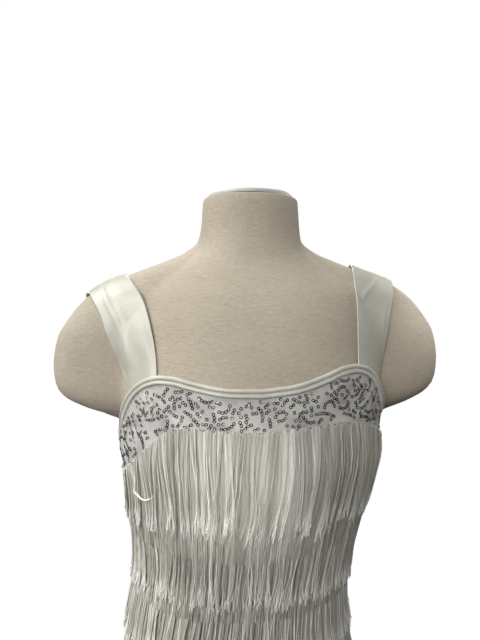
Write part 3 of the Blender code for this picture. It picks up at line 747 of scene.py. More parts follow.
sequin_tree, given = start_tree("sequins", {
    "Across": "Float", "Hole": "Float", "Cup": "Float", "Tip": "Float", "Seed": "Int"})
ring_line = node(sequin_tree, "GeometryNodeCurvePrimitiveCircle", {
    "Resolution": 12, "Radius": calc(sequin_tree, "MULTIPLY", calc(
        sequin_tree, "ADD", given["Across"], given["Hole"]), 0.25)})
wire = node(sequin_tree, "GeometryNodeCurvePrimitiveCircle", {
    "Resolution": 3, "Radius": calc(sequin_tree, "MULTIPLY", calc(
        sequin_tree, "SUBTRACT", given["Across"], given["Hole"]), 0.29)})
ring = node(sequin_tree, "GeometryNodeCurveToMesh", {
    "Curve": ring_line, "Profile Curve": wire, "Fill Caps": False})
flat_ring = node(sequin_tree, "GeometryNodeTransform", {
    "Geometry": ring, "Scale": xyz(sequin_tree, 1.0, 1.0, given["Cup"])})
number = node(sequin_tree, "GeometryNodeInputIndex")
square = node(sequin_tree, "FunctionNodeAlignRotationToVector", {
    "Vector": stored_value(sequin_tree, "out")}, axis="Z")
low = calc(sequin_tree, "MULTIPLY", given["Tip"], -1.0)
tips = [chance_of(sequin_tree, low, given["Tip"], number,
                  calc(sequin_tree, "ADD", given["Seed"], float(k))) for k in (1, 2)]
placed = node(sequin_tree, "GeometryNodeInstanceOnPoints", {
    "Points": given["Geometry"], "Instance": flat_ring,
    "Rotation": turned_by(sequin_tree, square, *tips)})
end_tree(sequin_tree, placed, silver)

# %% sewing the sequins on
SEQUINS = {"front": (470, 11), "back": (380, 12)}  # how many at least, and the seed
sequins = {}
for side, (wanted, seed) in SEQUINS.items():
    places, normals = walk_chains(side, wanted, seed)
    sequins[side] = run_tree(
        sequin_tree, point_mesh("places", places, out=normals), f"sequins_{side}",
        {"Across": SEQUIN_ACROSS * MM, "Hole": SEQUIN_HOLE * MM, "Cup": 0.6, "Tip": 0.22,
         "Seed": seed})
    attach(sequins[side], "root")
    print(side, "sequins:", len(places))

# %% the yoke as cut cloth
for side, piece in yokes.items():
    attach(piece, "root")
    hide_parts(f"yoke_{side}")

# %% [markdown]
# ## The binding
#
# The raw top edge is wrapped in a folded strip, topstitched along its middle, so it stands as
# two ribs with a stitched groove between them. Its section is swept along the edge: each
# point of the section is a distance down the cloth from the edge, and a height off the form.

# %% binding section
BINDING = [  # millimetres down from the edge, and out from the form
    (-0.6, 3.5), (-1.9, 3.4), (-2.5, 3.8), (-2.55, 4.4), (-2.1, 4.95), (-1.3, 5.25), (-0.4, 5.3),
    (0.5, 5.1), (1.0, 4.6), (1.3, 4.0), (1.7, 3.95), (2.1, 4.6), (2.9, 5.1), (3.8, 5.1),
    (4.5, 4.8), (5.0, 4.3), (5.2, 3.8), (4.9, 3.45), (4.0, 3.4),
]
BINDING_SIDES, BINDING_WALL, INSET_STEP = 230, 0.3, 0.25


def inset_points(turn, inset, off):
    """Points inset millimetres down the cloth from its top edge, square to the edge."""
    here = top_height(turn)
    before, after = turn - INSET_STEP, turn + INSET_STEP
    run = dress_points(after, here, off) - dress_points(before, here, off)
    speed = np.linalg.norm(run, axis=-1) / MM
    climb = top_height(after) - top_height(before)
    length = np.hypot(speed, climb)
    shifted = turn + inset * climb / length / speed * 2 * INSET_STEP
    return dress_points(shifted, here - inset * speed / length, off)


# %% ribbon and thread finishes
RUNG_STEP = 1.6


def ribbon_finish(name, dark, light, roughness, metallic, painted_rung_shade_and_bump=0.0):
    """Woven ribbon. The last number sets how strongly a rung shows every RUNG_STEP millimetres: as
    bump, and in the colour as painted shade of the stitches.
    """
    finish, tree, shader = new_finish(name, light, roughness=roughness, metallic=metallic)
    ribs = stretched_noise(tree, 60, 2400, 2.0)
    cloud = stretched_noise(tree, 40, 30, 3.0)
    along = node(tree, "ShaderNodeSeparateXYZ", {0: node(tree, "ShaderNodeUVMap", uv_map="cloth")})
    wave = calc(tree, "SINE", calc(
        tree, "MULTIPLY", along.outputs["X"], 2 * math.pi / (RUNG_STEP * MM)))
    # Rungs across the ribbon: in the colour they are painted shade between the stitches, in the
    # bump they are relief.
    rungs_as_shade_and_bump = calc(tree, "MULTIPLY", wave, painted_rung_shade_and_bump)
    both = weighted(tree, (ribs, 0.4), (cloud, 0.6), (rungs_as_shade_and_bump, 1))
    tint(tree, shader, both, [(0.36, dark), (0.64, light)])
    emboss(tree, shader, weighted(tree, (ribs, 1), (rungs_as_shade_and_bump, 4.0)), 0.22, 0.2)
    return finish


# The binding's rungs are painted shade of its stitches in the colour, and bump.
binding_finish = ribbon_finish(
    "binding", (0.50, 0.492, 0.425), (0.74, 0.728, 0.64), 0.46, 0.1, painted_rung_shade_and_bump=0.07)
thread_finish, tree, shader = new_finish("sewing_thread", (0.80, 0.80, 0.76), roughness=0.5)
ply = node(tree, "ShaderNodeTexWave", {
    "Vector": own_space(tree), "Scale": 600.0}, bands_direction="DIAGONAL")
emboss(tree, shader, ply, 0.3, 0.15)
tint(tree, shader, ply, [(0.0, (0.70, 0.70, 0.66)), (1.0, (0.88, 0.88, 0.84))])

# %% sweeping the binding
bindings = {}
for side, (first, last) in HALVES.items():
    turns = even_turns(first, last, BINDING_SIDES, top_height)
    points = np.array([inset_points(turns, inset, off) for inset, off in BINDING])
    bindings[side] = cloth_piece(f"binding_strip_{side}", points, binding_finish, BINDING_WALL)

# %% [markdown]
# ### Stitches
#
# A stitch is a short thread that dips at both ends. One tree lays stitches along any line: it
# spaces points evenly, turns each stitch along the line and away from the cloth, and can lean
# every other one to make a zigzag.

# %% the stitch tree
stitch_tree, given = start_tree("stitches", {
    "Spacing": "Float", "Length": "Float", "Thread": "Float", "Lean": "Float", "Turned": "Float"})
arc = node(stitch_tree, "GeometryNodeCurveQuadraticBezier", {
    "Resolution": 3, "Start": (-0.5, 0, -0.12), "Middle": (0, 0, 0.22), "End": (0.5, 0, -0.12)})
long_arc = node(stitch_tree, "GeometryNodeTransform", {
    "Geometry": arc, "Scale": xyz(stitch_tree, *[given["Length"]] * 3)})
round_thread = node(stitch_tree, "GeometryNodeCurvePrimitiveCircle", {
    "Resolution": 4, "Radius": calc(stitch_tree, "MULTIPLY", given["Thread"], 0.5)})
stitch = node(stitch_tree, "GeometryNodeCurveToMesh", {
    "Curve": long_arc, "Profile Curve": round_thread, "Fill Caps": True})
line = node(stitch_tree, "GeometryNodeMeshToCurve", {"Mesh": given["Geometry"]})
spaced = node(stitch_tree, "GeometryNodeResampleCurve", {
    "Curve": line, "Length": given["Spacing"]}, mode="LENGTH")
heading = node(stitch_tree, "FunctionNodeAxesToRotation", {
    "Primary Axis": stored_value(stitch_tree, "out"),
    "Secondary Axis": node(stitch_tree, "GeometryNodeInputTangent")},
    primary_axis="Z", secondary_axis="X")
every_other = calc(stitch_tree, "SUBTRACT", calc(stitch_tree, "MULTIPLY", calc(
    stitch_tree, "MODULO", node(stitch_tree, "GeometryNodeInputIndex"), 2.0), 2.0), 1.0)
angle = calc(stitch_tree, "ADD", given["Turned"], calc(
    stitch_tree, "MULTIPLY", every_other, given["Lean"]))
laid = node(stitch_tree, "GeometryNodeInstanceOnPoints", {
    "Points": spaced, "Instance": stitch, "Rotation": turned_by(stitch_tree, heading, z=angle)})
end_tree(stitch_tree, laid, thread_finish)


# %% laying lines of stitches
STITCHES = {  # spacing, length and thread in millimetres, then lean and turn in radians
    "topstitch": (2.1, 1.5, 0.5, 0.0, 0.0),
    "coverstitch": (1.9, 1.5, 0.42, 0.35, 1.57),
    "seam_stitches": (2.8, 3.0, 0.55, 0.45, 1.35),
    "hem_stitches": (3.6, 2.6, 0.4, 0.0, 0.0),
}
TOPSTITCH_PLACE, COVERSTITCH_PLACE, RIB_OUT = (1.5, 4.45), (4.2, 5.05), 4.4


def outward_of(turn, z, off):
    """The way the dress faces at places on it."""
    beside = dress_points(turn + TURN_STEP, z, off) - dress_points(turn - TURN_STEP, z, off)
    above = dress_points(turn, z + HEIGHT_STEP, off) - dress_points(turn, z - HEIGHT_STEP, off)
    return unit(np.cross(beside, above))


def stitch_line(kind, part, points, outs):
    """Stitches of one kind along a line of points, as a piece named after both."""
    edges = [(i, i + 1) for i in range(len(points) - 1)]
    spacing, length, thread, lean, turned = STITCHES[kind]
    made = run_tree(
        stitch_tree, point_mesh("line", points, edges, out=outs), f"{kind}_{part}",
        {"Spacing": spacing * MM, "Length": length * MM, "Thread": thread * MM,
         "Lean": lean, "Turned": turned})
    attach(made, "root")
    return made


for side, (first, last) in HALVES.items():
    turns = even_turns(first, last, 600, top_height)
    outs = outward_of(turns, top_height(turns), RIB_OUT)
    stitches = [
        stitch_line("topstitch", side, inset_points(turns, *TOPSTITCH_PLACE), outs),
        stitch_line("coverstitch", side, inset_points(turns, *COVERSTITCH_PLACE), outs)]
    piece = bindings[side]
    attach(piece, "root")
    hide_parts(f"binding_{side}")
    print(side, "binding:", round(area_of(piece), 4), "square metres")

# %% [markdown]
# ## Satin straps
#
# The straps are wide double-faced ribbon, tucked behind the yoke at both ends. Ribbon is stiff
# across and soft along, so on the rounded shoulder it keeps a few long soft creases instead of
# many small ones. The strap follows the form's surface under it and spans the hollow beside the
# shoulder cap. A crease is a low ridge, and the longest one has a trough beside it.

# %% strap tables
STRAP_COLUMNS = ("along", "inner", "outer", "pleat")
STRAPS = {  # which side of the middle it is on, then its edges and middle fold along it
    "right": (-1, [
        (0.0, 84, 108, 0), (0.06, 84.5, 110.5, 0), (0.13, 87, 120, 0.5), (0.25, 95, 134, 0.6),
        (0.33, 104.5, 144.5, 0.4), (0.42, 116, 153.5, 0.2), (0.5, 120, 156, 0), (0.58, 113, 152, 0),
        (0.75, 95, 134, 0.6), (0.94, 85, 110, 0), (1.0, 84, 108, 0)]),
    "left": (1, [
        (0.0, 87, 111, 0), (0.06, 88, 115, 0), (0.13, 88.5, 119, 0.4), (0.25, 91, 125, 0.5),
        (0.33, 92.5, 130, 0.4), (0.42, 95.5, 136, 0.2), (0.5, 99.5, 142, 0), (0.58, 98.5, 139, 0),
        (0.75, 92, 128, 0.4), (0.94, 85, 110, 0), (1.0, 84, 108, 0)]),
}
RIBBON_ACROSS, RIBBON_WALL = 0.040, 0.7
RIBBON_OUT, RIBBON_LIFT, STRAP_TUCK = 1.48, 1.5, 6.0
STRAP_ROWS, STRAP_SIDES = 120, 30
SHEET_FROM, SHEET_TO, LINE_POINTS, LINE_PARTS = 82, 158, 161, 800


# %% the form under a strap
def shoulder_height(x):
    """Height of the shoulder's ridge at x."""
    heights = np.linspace(632, NECK_TOP_Z, 3000)
    return float(np.interp(-x, -form["reach"](heights), heights))


def strap_line(x, sign, end_x):
    """The form's surface at one x, from the front yoke over the shoulder to the back yoke."""
    ridge = shoulder_height(x)
    end_x = min(x, end_x)
    from_seam = math.degrees(math.acos((end_x / float(form["chest"](600.0))) ** (CHEST_POWER / 2)))
    share = np.linspace(0, 1, LINE_POINTS)
    halves = []
    for side, face in (("front", -1), ("back", 1)):
        end = float(top_edge[side](from_seam)) + HANG_SKEW * end_x * sign - STRAP_TUCK
        z = ridge - (ridge - end) * (1 - share) ** 3
        halves.append(np.stack([x * sign + 0 * z, face * depth(x + 0 * z, z, side), z], axis=1))
    line = np.concatenate([halves[0], halves[1][::-1][1:]])
    along = running_total(steps_of(line))
    even = np.linspace(0, along[-1], LINE_PARTS + 1)
    return np.stack([np.interp(even, along, line[:, k]) for k in range(3)], axis=1)


# %% creases of the straps
CREASES = [  # strap, its start and end along it, its place across at each, width and height
    ("right", 0.06, 0.47, 0.60, 0.77, 0.075, 0.7), ("right", 0.06, 0.46, 0.44, 0.60, 0.12, -0.5),
    ("right", 0.60, 0.90, 0.50, 0.46, 0.10, 0.7), ("left", 0.05, 0.30, 0.92, 0.80, 0.07, 0.5),
    ("left", 0.22, 0.38, 0.05, 0.62, 0.042, 0.45), ("left", 0.25, 0.42, 0.16, 0.80, 0.038, 0.6),
    ("left", 0.29, 0.43, 0.28, 0.94, 0.038, 0.55), ("left", 0.32, 0.44, 0.45, 1.00, 0.04, 0.4),
    ("left", 0.60, 0.92, 0.42, 0.52, 0.10, 0.6),
]


def crease_height(strap, along, share):
    """Height of the soft creases at one place of a strap."""
    height = 0.0
    for name, start, end, first, last, wide, high in CREASES:
        if name == strap and start < along < end:
            t = (along - start) / (end - start)
            middle = first + (last - first) * t
            height += high * math.sin(math.pi * t) ** 1.2 * np.exp(-((share - middle) / wide) ** 2)
    return height


# %% laying a strap
def strap_points(strap):
    sign, rows = STRAPS[strap]
    size = {name: smooth_curve(rows, STRAP_COLUMNS, "along", name) for name in STRAP_COLUMNS[1:]}
    xs = np.arange(SHEET_FROM, SHEET_TO, 1.0)
    sheet = np.array([strap_line(x, sign, rows[-1][2]) for x in xs])

    def spot(along, x):
        """The form's surface under a place on the strap. x is an array."""
        k = np.clip((x - xs[0]), 0, len(xs) - 1.001)
        row, col = k.astype(int), min(max(along, 0.0), 0.99999) * LINE_PARTS
        s, t = (k - row)[:, None], col - int(col)
        near = sheet[row, int(col)] * (1 - t) + sheet[row, int(col) + 1] * t
        far = sheet[row + 1, int(col)] * (1 - t) + sheet[row + 1, int(col) + 1] * t
        return near * (1 - s) + far * s

    points = []
    share = np.linspace(0, 1, STRAP_SIDES + 1)
    for along in np.linspace(0, 1, STRAP_ROWS + 1):
        inner, outer = float(size["inner"](along)), float(size["outer"](along))
        x = inner + (outer - inner) * share
        forward = spot(along + 0.01, x) - spot(along - 0.01, x)
        across = spot(along, x + 1) - spot(along, x - 1)
        out = unit(np.cross(across, forward) * sign)
        edges = spot(along, np.array([inner, outer]))
        straight = edges[0] + (edges[1] - edges[0]) * share[:, None]
        hollow = ((straight - spot(along, x)) * out).sum(axis=1)
        near_edge = np.minimum(1, 5 * np.minimum(share, 1 - share))
        bridged = near_edge * 0.5 * (hollow + np.sqrt(hollow ** 2 + 5))
        lift = RIBBON_LIFT * min(1.0, 2 * math.sin(math.pi * along)) ** 2
        pleat = float(size["pleat"](along)) * np.sin(np.pi * share) ** 2
        rise = RIBBON_OUT + np.maximum(lift, bridged) + pleat + crease_height(strap, along, share)
        place = spot(along, x) + out * rise[:, None]
        points.append(posed(place[:, 0], place[:, 1], place[:, 2]))
    return np.array(points)


satin = ribbon_finish("satin", (0.55, 0.54, 0.465), (0.68, 0.67, 0.585), 0.5, 0.32)
for strap in STRAPS:
    piece = cloth_piece(f"satin_strap_{strap}", strap_points(strap), satin, RIBBON_WALL)
    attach(piece, "root")
    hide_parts(f"strap_{strap}")

# %% [markdown]
# ## The sheath
#
# Under the fringe is a plain sheath of stretch cloth. It shows only between threads and
# inside the skirt.

# %% where each row of fringe hangs
HEADER_HEIGHT, FRINGE_GAP, FRINGE_CLEAR = 8.0, 0.8, 2.1
FRINGE = [  # height of the roots, their dip at the sides, height of the tips, their rise there
    (0, 0, 472, 14), (522, 19, 424, 8), (470, 6, 373, 6), (418, 2, 321, 4), (366, 0, 269, 2),
    (314, 0, 217, 0), (262, 0, 165, 0),
]


def fringe_root(index, turn):
    """Height of the top of a fringe row's header. The first hangs from the yoke's seam."""
    root, dip = FRINGE[index][:2]
    if index == 0:
        return seam_height(turn) - 0.3
    return root - dip * np.cos(np.radians(turn)) ** 2


def fringe_tips(index, turn):
    tips, rise = FRINGE[index][2:]
    return tips + rise * np.cos(np.radians(turn)) ** 2


def fringe_lean(index, turn):
    """How far a row leans out in each millimetre down, to pass over the next row's header."""
    index = min(index, len(FRINGE) - 2)
    drop = fringe_root(index, turn) - HEADER_HEIGHT - fringe_root(index + 1, turn)
    return FRINGE_CLEAR / drop


# %% the sheath's panels
stretch, tree, shader = new_finish("stretch_knit", (0.60, 0.59, 0.56), roughness=0.7)
shader.inputs["Sheen Weight"].default_value = 0.2
wales = stretched_noise(tree, 1500, 500, 1.0)
tint(tree, shader, wales, [(0.3, (0.52, 0.51, 0.48)), (0.7, (0.66, 0.65, 0.62))])
emboss(tree, shader, wales, 0.3, 0.3)

SHEATH_SIDES, SHEATH_ROWS, SHEATH_WALL, SHEATH_START = 72, 44, 0.9, 0.9
sheaths = {}
for side, (first, last) in HALVES.items():
    turns = even_turns(first, last, SHEATH_SIDES, seam_height)
    share = np.linspace(0, 1, SHEATH_ROWS)[:, None]
    z = (seam_height(turns) - SHEATH_START) * (1 - share) + HEM_Z * share
    points = dress_points(turns + 0 * z, z, CLOTH_OUT)
    sheaths[side] = cloth_piece(f"sheath_cloth_{side}", points, stretch, SHEATH_WALL)
    print(side, "sheath:", round(area_of(sheaths[side]), 4), "square metres")

# %% [markdown]
# ## Fringe, thread by thread
#
# Each row is some thousands of silky threads. A guide sheet says where a row hangs: its UV map
# runs once round the dress and once from root to tip. A thread is a line that looks up its
# points on that sheet, and lifts off it. A few threads cling together as a strand, strands gather
# in locks about 8 mm wide, and both sway, so the sideways shift and the lift come from numbers
# that a whole strand or lock shares. Two of every five threads hang behind, nearly
# straight, to a neat line. The others are shorter and ragged, and some strands cross their
# neighbours. At the tips some threads curl. The curls, the outer tips, the tops of the threads
# and a few stray threads are painted lighter, as painted highlights.
#
# Silk threads that lie side by side shine together, like one piece of cloth. So each thread also
# keeps the way the sheet faces, and its shading is two parts its own and one part the sheet's.

# %% silky thread
fringe_finish, tree, shader = new_finish("fringe_thread", (0.58, 0.56, 0.50), roughness=0.42)
shader.inputs["Specular IOR Level"].default_value = 0.7
# The tone attribute holds random tone and painted highlights.
thread_tone_and_glints = node(tree, "ShaderNodeAttribute", attribute_name="tone_and_painted_glints")
tint(tree, shader, thread_tone_and_glints.outputs["Fac"], [
    (0.0, (0.27, 0.26, 0.222)), (0.42, (0.46, 0.445, 0.39)), (0.7, (0.66, 0.645, 0.58)),
    (1.0, (0.92, 0.91, 0.86))])
cloth_way = node(tree, "ShaderNodeAttribute", attribute_name="facing").outputs["Vector"]
own_way = node(tree, "ShaderNodeNewGeometry").outputs["Normal"]
half_way = vector_calc(tree, "SCALE", cloth_way, scale=0.5)
smooth_way = vector_calc(tree, "NORMALIZE", vector_calc(tree, "ADD", half_way, own_way))
tree.links.new(smooth_way.outputs[0], shader.inputs["Normal"])

# %% guide sheets
GUIDE_START, GUIDE_SPAN, GUIDE_OUT = -12.0, 384.0, 0.4
GUIDE_SIDES, GUIDE_ROWS = 240, 22


def guide_sheet(index):
    """Where one row of fringe hangs, as a mesh with a UV map from 0 to 1 each way."""
    u, v = np.meshgrid(np.linspace(0, 1, GUIDE_SIDES), np.linspace(0, 1, GUIDE_ROWS))
    turn = GUIDE_START + GUIDE_SPAN * u
    root, tips = fringe_root(index, turn), fringe_tips(index, turn)
    z = root + (tips - root) * v
    drop = np.maximum(0, root - HEADER_HEIGHT - z)
    lean = fringe_lean(index, turn) * drop
    points = dress_points(turn, z, CLOTH_OUT + FRINGE_GAP + GUIDE_OUT + lean)
    made = grid_piece(f"guide_{index}", points)
    hang = made.data.uv_layers.new(name="hang")
    corner = np.zeros(len(made.data.loops), int)
    made.data.loops.foreach_get("vertex_index", corner)
    places = np.stack([u.ravel()[corner], v.ravel()[corner]], axis=1)
    hang.data.foreach_set("uv", places.astype(np.float32).ravel())
    return made


# %% [markdown]
# ### The fringe tree
#
# Its inputs say how a row behaves. Gather and Cling draw threads to the middle of their lock and
# strand, Relief and Tuft raise the middle of a lock, Sway moves locks and strands, Wander moves
# single threads, Cross sends some strands over their neighbours, and Curl bends the tips.

# %% the fringe tree: threads
ft, given = start_tree("fringe", {
    "Threads": "Int", "Parts": "Int", "Thickness": "Float", "Around": "Float", "Locks": "Float",
    "Strands": "Float", "Gather": "Float", "Cling": "Float", "Relief": "Float", "Tuft": "Float",
    "Sway": "Float", "Wander": "Float", "Cross": "Float", "Outer Length": "Float",
    "Ragged": "Float", "Curl": "Float", "Seed": "Int"})


def product(*values):
    return combine(ft, "MULTIPLY", values)


def total(*values):
    return combine(ft, "ADD", values)


def chance(low, high, key, extra):
    """A random number for each key. extra is a number that keeps its uses apart."""
    return chance_of(ft, low, high, key, total(given["Seed"], float(extra)))


def either_way(key, extra):
    return chance(-1.0, 1.0, key, extra)


def rest(value):
    """What is left of 1 after a value."""
    return calc(ft, "SUBTRACT", 1.0, value)


def shared_noise(key, down, extra, speed):
    """Smooth noise from -1 to 1, alike for threads with the same key, changing down the thread."""
    place = xyz(ft, product(key, 7.31), product(down, speed),
                product(total(given["Seed"], float(extra)), 3.17))
    noise = node(ft, "ShaderNodeTexNoise", {"Vector": place, "Scale": 1.0, "Detail": 0.0})
    return product(calc(ft, "SUBTRACT", noise, 0.5), 3.2)


blank = node(ft, "GeometryNodeResampleCurve", {
    "Curve": node(ft, "GeometryNodeCurvePrimitiveLine"), "Count": total(given["Parts"], 1.0)})
places = node(ft, "GeometryNodeMeshLine", {"Count": given["Threads"]})
copies = node(ft, "GeometryNodeInstanceOnPoints", {"Points": places, "Instance": blank})
numbered = node(ft, "GeometryNodeStoreNamedAttribute", {
    "Geometry": copies, "Name": "thread", "Value": node(ft, "GeometryNodeInputIndex")},
    data_type="INT", domain="INSTANCE")
threads = node(ft, "GeometryNodeRealizeInstances", {"Geometry": numbered})
thread = stored_value(ft, "thread", "INT")
share = node(ft, "GeometryNodeSplineParameter")

# %% the fringe tree: strands, locks and layers
even_place = calc(ft, "DIVIDE", total(thread, chance(0.0, 1.0, thread, 1)), given["Threads"])


def bunches(count, uneven, extra):
    """Splits a row into bunches. Gives a thread its bunch and its place in it, from 0 to 1."""
    place = product(even_place, count)
    shift = product(shared_noise(product(place, 0.045), 0.0, extra, 0), uneven)
    coordinate = total(place, shift, 20.0)
    return calc(ft, "FLOOR", coordinate), calc(ft, "FRACT", coordinate)


def crown(place):
    """A round top across a bunch: 0 at its edges and 1 at its middle."""
    across = calc(ft, "SUBTRACT", product(place, 2.0), 1.0)
    return rest(product(across, across))


lock, in_lock = bunches(given["Locks"], 0.75, 2)
strand, in_strand = bunches(given["Strands"], 1.5, 3)
lock_strength = chance(0.2, 1.0, lock, 4)
strand_strength = chance(0.0, 1.0, strand, 5)
is_outer = calc(ft, "GREATER_THAN", calc(ft, "MODULO", product(thread, 2.0), 5.0), 1.5)
loose = total(0.15, product(is_outer, 0.85))

# %% the fringe tree: how long a thread is
INNER_LENGTH, INNER_UNEVEN = 0.982, 0.016
THREAD_RAGGED, STRAND_RAGGED, LOCK_RAGGED = 0.45, 0.4, 0.25
ragged = total(
    product(either_way(thread, 6), THREAD_RAGGED), product(either_way(strand, 7), STRAND_RAGGED),
    product(either_way(lock, 8), LOCK_RAGGED))
outer_length = total(given["Outer Length"], product(ragged, given["Ragged"]))
inner_length = total(INNER_LENGTH, product(either_way(thread, 9), INNER_UNEVEN))
thread_length = total(product(outer_length, is_outer), product(inner_length, rest(is_outer)))
spread = calc(ft, "SUBTRACT", share, product(calc(ft, "SINE", product(share, 2 * math.pi)), 0.07))
down = product(spread, thread_length)

# %% the fringe tree: sideways, in millimetres round the dress
STANDS_OUT_OVER, CROSSES_OVER, TIP_START, TIP_SPEED = 0.93, 0.78, 0.82, 5.6

settle = calc(ft, "SMOOTH_MIN", product(down, 1.6), 1.0, 0.3)
quick = calc(ft, "SMOOTH_MIN", product(down, 3.2), 1.0, 0.4)
lock_width = calc(ft, "DIVIDE", given["Around"], given["Locks"])
strand_width = calc(ft, "DIVIDE", given["Around"], given["Strands"])
open_again = rest(product(down, 0.45))
gather = product(calc(ft, "SUBTRACT", 0.5, in_lock), lock_width, given["Gather"], lock_strength,
                 settle, open_again, loose)
cling = product(calc(ft, "SUBTRACT", 0.5, in_strand), strand_width, given["Cling"],
                strand_strength, quick, loose)
lean = total(product(is_outer, 0.9), 0.1)
lock_sway = total(shared_noise(lock, down, 10, 1.3), product(either_way(lock, 23), 1.4))
sway = total(product(lock_sway, given["Sway"], settle, lean),
             product(shared_noise(strand, down, 11, 2.2), given["Sway"], 0.5, down, loose))
stands_out = product(calc(ft, "GREATER_THAN", chance(0.0, 1.0, thread, 24), STANDS_OUT_OVER),
                     is_outer)
wander = product(shared_noise(thread, down, 12, 3.0), given["Wander"], settle,
                 total(1.0, product(stands_out, 2.0)))
is_cross = product(calc(ft, "GREATER_THAN", chance(0.0, 1.0, strand, 13), CROSSES_OVER), is_outer)
cross = total(product(either_way(strand, 14), is_cross, given["Cross"], settle),
              product(either_way(strand, 15), given["Cross"], 0.2, settle, loose))
tip = calc(ft, "MAXIMUM", product(calc(ft, "SUBTRACT", spread, TIP_START), TIP_SPEED), 0.0)
curl_share = calc(ft, "POWER", chance(0.0, 1.0, thread, 16), 3.0)
bend = product(tip, tip, given["Curl"], is_outer, curl_share)
sideways = total(gather, cling, sway, wander, cross, product(bend, either_way(thread, 17)))

# %% the fringe tree: off the cloth, and up
layer = total(product(is_outer, 0.6), chance(0.0, 0.6, thread, 18),
              product(chance(0.0, 0.7, strand, 19), is_outer), product(crown(in_strand), 0.5),
              product(stands_out, 0.6))
relief = product(crown(in_lock), given["Relief"], lock_strength, loose)
start = calc(ft, "SMOOTH_MIN", total(product(down, 3.0), 0.6), 1.0, 0.3)
lift = total(product(total(layer, relief, product(is_cross, 0.8)), start), product(bend, 0.45))
tuft_share = total(0.35, product(lock_strength, 0.65))
tuft = product(crown(in_lock), crown(in_lock), given["Tuft"], tuft_share, rest(settle))
rise = total(tuft, product(bend, 0.6))

# %% the fringe tree: from numbers to threads
u = total(-GUIDE_START / GUIDE_SPAN, product(total(
    even_place, calc(ft, "DIVIDE", sideways, given["Around"])), 360.0 / GUIDE_SPAN))
on_guide = xyz(ft, u, calc(ft, "MINIMUM", down, 0.999))


def look_up(value):
    """A vector of the guide sheet at the thread's place on it."""
    return node(ft, "GeometryNodeSampleUVSurface", {
        "Mesh": given["Geometry"], "Value": value, "UV Map": stored_value(ft, "hang"),
        "Sample UV": on_guide}, data_type="FLOAT_VECTOR")


def keep(geometry, name, value, kind):
    """Stores a value on each point of the threads, for their finish."""
    return node(ft, "GeometryNodeStoreNamedAttribute", {
        "Geometry": geometry, "Name": name, "Value": value}, data_type=kind, domain="POINT")


surface = look_up(node(ft, "GeometryNodeInputPosition"))
facing = look_up(node(ft, "GeometryNodeInputNormal"))
lifted = vector_calc(
    ft, "ADD", surface, vector_calc(ft, "SCALE", facing, scale=product(lift, MM)))
place = vector_calc(ft, "ADD", lifted, xyz(ft, z=product(rise, MM)))
hung = node(ft, "GeometryNodeSetPosition", {"Geometry": threads, "Position": place})
# Tone: random for each thread, strand and lock, plus painted highlights: lighter curls and outer
# tips as painted glints, lighter tops and lighter stray threads as painted shine.
tone_and_painted_glints = total(
    chance(0.06, 0.42, thread, 20), chance(0.0, 0.28, strand, 21), chance(0.0, 0.16, lock, 22),
    product(calc(ft, "MINIMUM", bend, 1.0), 0.5), product(tip, 0.07, is_outer),
    product(rest(settle), 0.12), product(stands_out, 0.45))
toned = keep(keep(hung, "facing", facing, "FLOAT_VECTOR"), "tone_and_painted_glints", tone_and_painted_glints, "FLOAT")
section = node(ft, "GeometryNodeCurvePrimitiveCircle", {
    "Resolution": 3, "Radius": product(given["Thickness"], 0.5)})
spun = node(ft, "GeometryNodeCurveToMesh", {
    "Curve": toned, "Profile Curve": section, "Fill Caps": True})
end_tree(ft, node(ft, "GeometryNodeSetShadeSmooth", {"Geometry": spun}), fringe_finish)

# %% [markdown]
# ### Hanging the rows
#
# The two upper rows show best, so they get the most threads. Lower rows are the same, with
# fewer and slightly thicker ones. The first row is the fullest: its locks gather, sway and cross
# more than those below.

# %% sizes of the rows
ROW_COLUMNS = ("threads", "parts", "thick", "locks", "strands", "outer_length", "ragged")
ROWS = [
    (3900, 8, 0.46, 92, 236, 0.78, 0.11),
    (3900, 8, 0.48, 86, 228, 0.88, 0.09),
    (3300, 6, 0.56, 80, 232, 0.88, 0.08),
    (1800, 4, 0.88, 76, 330, 0.88, 0.08),
    (1800, 4, 0.88, 78, 330, 0.88, 0.08),
    (1800, 4, 0.88, 80, 340, 0.88, 0.08),
    (1800, 4, 0.88, 82, 340, 0.90, 0.07),
]
EVERY_ROW = {"Cling": 0.5, "Wander": 1.1, "Curl": 4.5}
FIRST_ROW = {"Gather": 0.95, "Relief": 1.3, "Tuft": 3.0, "Sway": 2.9, "Cross": 8.5}
OTHER_ROWS = {"Gather": 0.5, "Relief": 0.9, "Tuft": 0.6, "Sway": 1.7, "Cross": 5.0}
FIRST_SEED = 40


def length_round(index):
    """Length of a row's header round the dress, in millimetres."""
    turn = np.linspace(0, 360, 361)
    line = dress_points(turn, fringe_root(index, turn), CLOTH_OUT)
    return float(steps_of(line).sum()) / MM


fringe_rows = []
for index, row in enumerate(ROWS):
    size = dict(zip(ROW_COLUMNS, row))
    made = run_tree(ft, guide_sheet(index), f"fringe_{index + 1}", {
        "Threads": size["threads"], "Parts": size["parts"], "Thickness": size["thick"] * MM,
        "Around": length_round(index), "Locks": float(size["locks"]),
        "Strands": float(size["strands"]), "Outer Length": size["outer_length"],
        "Ragged": size["ragged"], "Seed": FIRST_SEED + index,
        **EVERY_ROW, **(FIRST_ROW if index == 0 else OTHER_ROWS)})
    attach(made, "root")
    fringe_rows.append(made)
    print("row", index + 1, "header:", round(length_round(index)), "mm round")

# %% [markdown]
# ### Headers
#
# The threads of a row are woven into a narrow tape, and the tape is sewn to the sheath. It
# lies under the threads, so it is a plain closed band.

